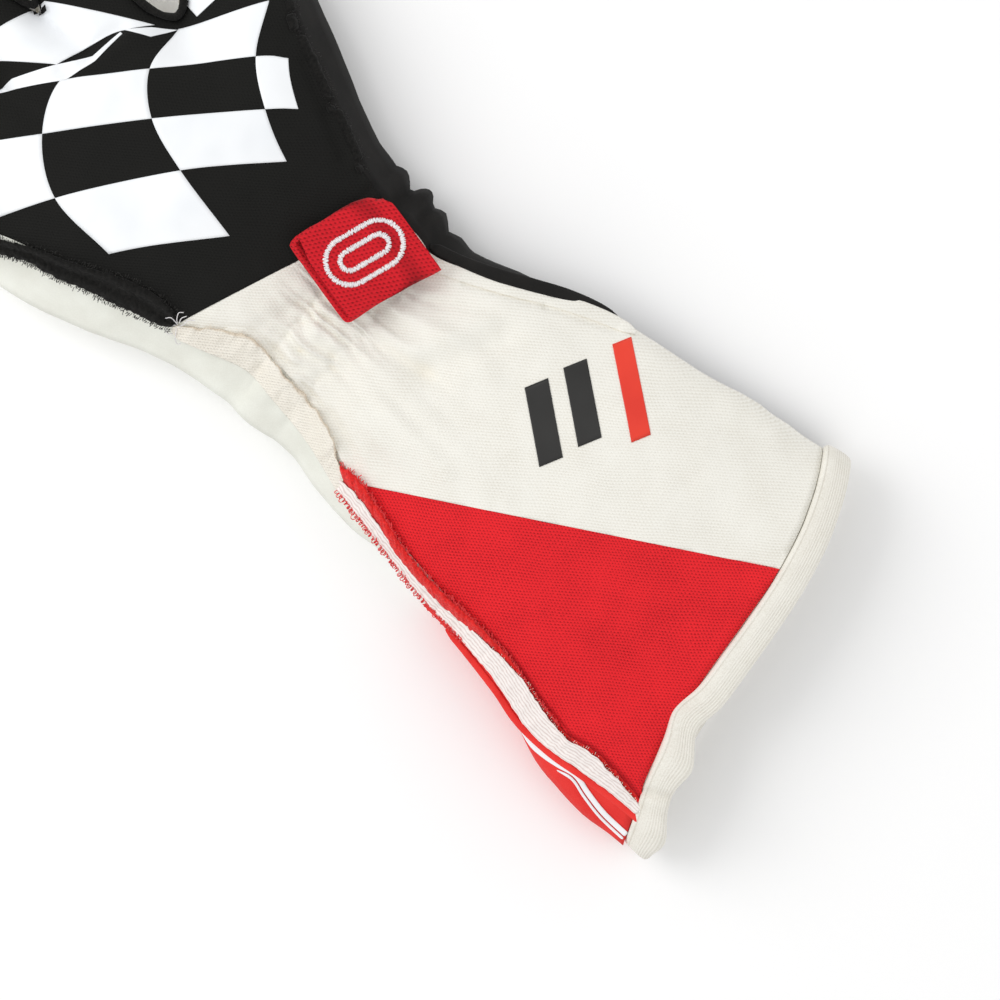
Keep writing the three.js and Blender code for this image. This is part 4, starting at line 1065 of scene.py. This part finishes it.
# %% [markdown]
# The pull tab is a strap of knitted webbing folded into a flat loop, open at its two ends. The lower layer
# peeps out on the left, because the loop has been pushed askew, and the fold towards the hand is rounder.

# %% pull tab
tab_middle = (16.66, 9.72)
tab_turn = math.radians(-18)
tab_half = 12.75  # mm, and so are the next ones: half of the tab's width, and how far its parts move
peep = 1.7
skew = 0.09  # for each mm from the hand's side
fold_lean = 1.5
right_tuck = 1.6
hand_tuck = 1.7
corner_cut = 1.1
wrist_sink = 1.5
fold_rise = 1.2
tab_along = Vector((math.cos(tab_turn), math.sin(tab_turn), 0))
tab_across = Vector((-math.sin(tab_turn), math.cos(tab_turn), 0))

bm = subdivided(merged("wrist_tab"), 3, rim_angle)
drawn = bm.verts.layers.float.new("crease_shade")
tab_top = max(corner.co.z for corner in bm.verts)
for corner in bm.verts:
    from_middle = corner.co - on_glove(*tab_middle)
    along, across = from_middle.dot(tab_along) / mm, from_middle.dot(tab_across) / mm
    low = smooth(tab_top - corner.co.z, 2.2 * mm, 5.0 * mm)
    left_end = smooth(-along, 2, tab_half)
    right_end = smooth(along, 4, tab_half)
    hand_side = smooth(across, 3, tab_half)
    # Painted shade: the loop's lower layer is darkened, from just inside its open left end to short of the
    # right end.
    corner[drawn] = 3.0 * low * smooth(along, -tab_half + 0.7, -tab_half + 1.2) * (1 - right_end)
    hand_corner = smooth(across, 8, tab_half)
    corner.co -= tab_along * peep * low * left_end * mm
    corner.co += tab_along * (skew * (tab_half - across) + fold_lean * (1 - low) * left_end * hand_side) * mm
    corner.co -= tab_along * right_tuck * (1 - low) * right_end * hand_corner * mm
    corner.co -= tab_across * hand_tuck * right_end * hand_side * mm
    corner.co -= (tab_along + tab_across) * corner_cut * smooth(along, 8, tab_half) * hand_corner * mm
    squeeze = smooth(-across, -4, tab_half)
    corner.co.z -= wrist_sink * squeeze * (1 - low) * mm
    corner.co.z += fold_rise * hand_side * left_end * (1 - low) * mm
    corner.co.z += 0.35 * noise.noise(Vector((along / 5, across / 5, 2.0))) * mm
    corner.co += 0.5 * noise.noise(Vector((along / 8, across / 8, 6.0))) * tab_across * mm
tab = piece("pull_tab", bm, webbing, "red_webbing", "wrist_tab")
tab_surface = BVHTree.FromPolygons(
    [corner.co.copy() for corner in tab.data.vertices], [list(face.vertices) for face in tab.data.polygons]
)

# %% [markdown]
# The tab is embroidered in white satin stitch with a plain racing oval: two lines, one inside the other.
# Each stitch is a thin rounded bar laid across the line, so the thread catches light stitch by stitch.

# %% embroidery
stitch_pitch = 0.42  # mm
stitch_width = 1.55
oval_middle = (0.9, 0.3)  # from the tab's own middle
oval_straight = 4.2  # half of the straight stretch
oval_radii = (5.9, 2.4)
stitch_overlap = 1.25  # a stitch's thickness along the line, in pitches
stitch_height = 0.55  # mm, and how far its middle lies over the webbing
stitch_lift = 0.12


def oval(radius, pitch):
    """Places and directions along a closed track of two straights and two half circles, in mm."""
    straight, bend = 2 * oval_straight, math.pi * radius
    count = round(2 * (straight + bend) / pitch)
    for number in range(count):
        far = 2 * (straight + bend) * number / count
        half, rest = (1, far) if far < straight + bend else (-1, far - straight - bend)
        if rest < straight:
            yield half * (rest - oval_straight), -half * radius, (1.0, 0.0)
        else:
            angle = (rest - straight) / radius - math.pi / 2
            along = half * (oval_straight + radius * math.cos(angle))
            yield along, half * radius * math.sin(angle), (-math.sin(angle), math.cos(angle))


bm = bmesh.new()
for radius in oval_radii:
    for along, across, way in oval(radius, stitch_pitch):
        from_middle = tab_along * (oval_middle[0] + along) + tab_across * (oval_middle[1] + across)
        top = seen_from_above(on_glove(*tab_middle) + from_middle * mm, tab_surface)
        onwards = (tab_along * way[0] + tab_across * way[1]).normalized()
        sideways = Vector((-onwards.y, onwards.x, 0)) + onwards * rng.uniform(-0.3, 0.3)
        made = bmesh.ops.create_uvsphere(bm, u_segments=6, v_segments=4, radius=0.5)["verts"]
        long = stitch_width * rng.uniform(0.82, 1.12)
        for corner in made:
            across_thread, along_thread, height = corner.co.x, corner.co.z, corner.co.y
            corner.co = (
                top + onwards * across_thread * stitch_pitch * stitch_overlap * mm
                + sideways.normalized() * along_thread * long * mm
                + Vector((0, 0, (stitch_lift + height * stitch_height) * mm))
            )
bmesh.ops.recalc_face_normals(bm, faces=bm.faces)
piece("oval_embroidery", bm, white_thread)

# %% [markdown]
# The print on the back of the hand is a chequered flag in white vinyl, the common racing pattern, waving.
# Its corners are the table of a bent lattice. Each white field is a fine grid, whose places follow smooth
# curves through that lattice both ways. It is then laid onto the cloth and given the film's thickness.

# %% laying print on the cloth
film_lift = 0.18  # mm over the cloth
film_thickness = 0.12
film_fine = 22  # faces along a field's side
film_steepest = 0.4  # upward part of a normal, under which a face hangs over the cloth's edge and is cut off


def field(bm):
    """A new fine grid: each of its corners, with the shares of the way along and down."""
    for corner in bmesh.ops.create_grid(bm, x_segments=film_fine, y_segments=film_fine, size=0.5)["verts"]:
        yield corner, corner.co.x + 0.5, corner.co.y + 0.5


def straight_field(bm, corners):
    """A field of film with four straight sides, its corners in mm."""
    first, second, third, fourth = [Vector(corner) for corner in corners]
    for corner, along, down in field(bm):
        corner.co = on_glove(*first.lerp(second, along).lerp(fourth.lerp(third, along), down))


def film(name, bm, material, cuts=()):
    """Lays flat fields onto the cloth. cuts are a place on a line and the way to keep."""
    for place, keep in cuts:
        bmesh.ops.bisect_plane(
            bm, geom=bm.verts[:] + bm.edges[:] + bm.faces[:], plane_co=on_glove(*place),
            plane_no=-Vector((*keep, 0)), clear_outer=True,
        )
    beside = []
    for corner in bm.verts:
        top = seen_from_above(corner.co)
        if top is None:
            beside.append(corner)
        else:
            corner.co.z = top.z + film_lift * mm
    bmesh.ops.delete(bm, geom=beside, context="VERTS")
    bm.normal_update()
    stretched = [face for face in bm.faces if abs(face.normal.z) < film_steepest]
    bmesh.ops.delete(bm, geom=stretched, context="FACES")
    bmesh.ops.recalc_face_normals(bm, faces=bm.faces)
    for face in bm.faces:
        if face.normal.z < 0:
            face.normal_flip()
    bmesh.ops.solidify(bm, geom=bm.faces[:], thickness=film_thickness * mm)
    return piece(name, bm, material)


# %% chequered flag
# Corners in mm: rows from the fingers to the wrist, each from the little finger's side to the thumb's
flag_corners = [
    [(-20.3, 113.2), (19.3, 91.3), (29.4, 81.6), (49.3, 68.7), (55.0, 64.4)],
    [(-21.0, 112.6), (0.6, 94.2), (17.1, 79.4), (36.6, 61.9), (41.6, 55.7)],
    [(-32.3, 106.1), (-12.4, 88.9), (8.1, 70.7), (28.2, 51.4), (33.7, 45.5)],
    [(-47.7, 91.1), (-22.3, 76.0), (3.1, 57.0), (22.0, 39.0), (27.9, 33.5)],
    [(-55.7, 77.4), (-24.0, 57.0), (-1.1, 37.5), (16.9, 21.3), (23.3, 17.0)],
]
white_fields = [(0, 2), (1, 1), (1, 3), (2, 0), (2, 2), (3, 1)]  # row and column
loose_fields = [
    [(12.8, 111.8), (26.2, 86.4), (18.5, 92.3), (2.8, 97.8)],
    [(-13.3, 119.3), (12.8, 111.8), (2.8, 97.8), (-6.4, 110.4)],
    [(-12.8, 105.4), (-7.1, 104.2), (2.8, 97.8), (1.4, 93.3)],
    [(2.8, 97.8), (10.2, 92.3), (9.7, 90.9), (1.4, 93.3)],
    [(10.2, 92.3), (19.3, 91.3), (19.3, 90.6), (9.7, 90.9)],
    [(20.2, 91.1), (25.2, 86.5), (29.1, 81.6), (23.3, 84.9)],
    [(36, 90), (47, 84), (43.6, 79.0), (34.7, 80.2)],
]
seam_cut = ((-28, 44), (0.937, 0.349))  # along the seam at the little finger's side


def padded_ends(line):
    """A line of places with one more at each end, straight on."""
    return [2 * line[0] - line[1]] + line + [2 * line[-1] - line[-2]]


flag_lines = [padded_ends([Vector(corner) for corner in line]) for line in flag_corners]
flag_lines = [list(line) for line in zip(*[padded_ends(list(line)) for line in zip(*flag_lines)])]

bm = bmesh.new()
for corners in loose_fields:
    straight_field(bm, corners)
bmesh.ops.remove_doubles(bm, verts=bm.verts, dist=0.01 * mm)
for row, column in white_fields:
    for corner, along, down in field(bm):
        four = [curve_point(line[column:column + 4], along) for line in flag_lines[row:row + 4]]
        corner.co = on_glove(*curve_point(four, down))
film("chequered_print", bm, white_vinyl, [seam_cut])

# %% [markdown]
# On the cuff a small print of three slanted bars takes up the glove's colours, two black and one red. On
# the red end of the side two narrow white stripes run down to the hem, the outer one only half as long.

# %% cuff print and side stripes
bar_lean = Vector((0.62, 0.78))


def bar(x, y, length, width):
    """A slanted bar of the cuff's print, by its middle."""
    half = bar_lean * length / 2
    side = Vector((width / 2, -width / 4))
    middle = Vector((x, y))
    return [middle - half - side, middle - half + side, middle + half + side, middle + half - side]


# Pieces of the print: name, film, and each bar's middle, length and width in mm
cuff_prints = [
    ("cuff_print_black", black_vinyl, [(15, -51, 20, 5.6), (25, -55, 20, 5.6)]),
    ("cuff_print_red", red_vinyl, [(35.5, -62, 25, 4.6)]),
]
for print_name, colour_film, bars in cuff_prints:
    bm = bmesh.new()
    for x, y, length, width in bars:
        straight_field(bm, bar(x, y, length, width))
    film(print_name, bm, colour_film)

stripe_middle = [
    (-45.4, -95), (-46.3, -97.5), (-47.5, -101.8), (-47.4, -106.1), (-46.8, -110),
    (-45.9, -114.6), (-47.3, -119.8), (-48.6, -126.4), (-49.0, -134.5),
]
thin_film = [(0.0, 0.1), (0.0, 0.32), (0.5, 0.4), (1.0, 0.32), (1.0, 0.1)]


def stripe(name, points, width, aside):
    """A narrow printed stripe beside a line of places."""
    outer = [(x + aside - width / 2, y) for x, y in points]
    inner = [(x + aside + width / 2, y) for x, y in points]
    return ply(name, table_rails(outer, inner), thin_film, white_vinyl, None, nub=0.0, tapers=to_the_tape)


stripe("side_stripe_wide", stripe_middle, 1.5, 0.1)
stripe("side_stripe_narrow", stripe_middle[4:], 0.8, -1.3)
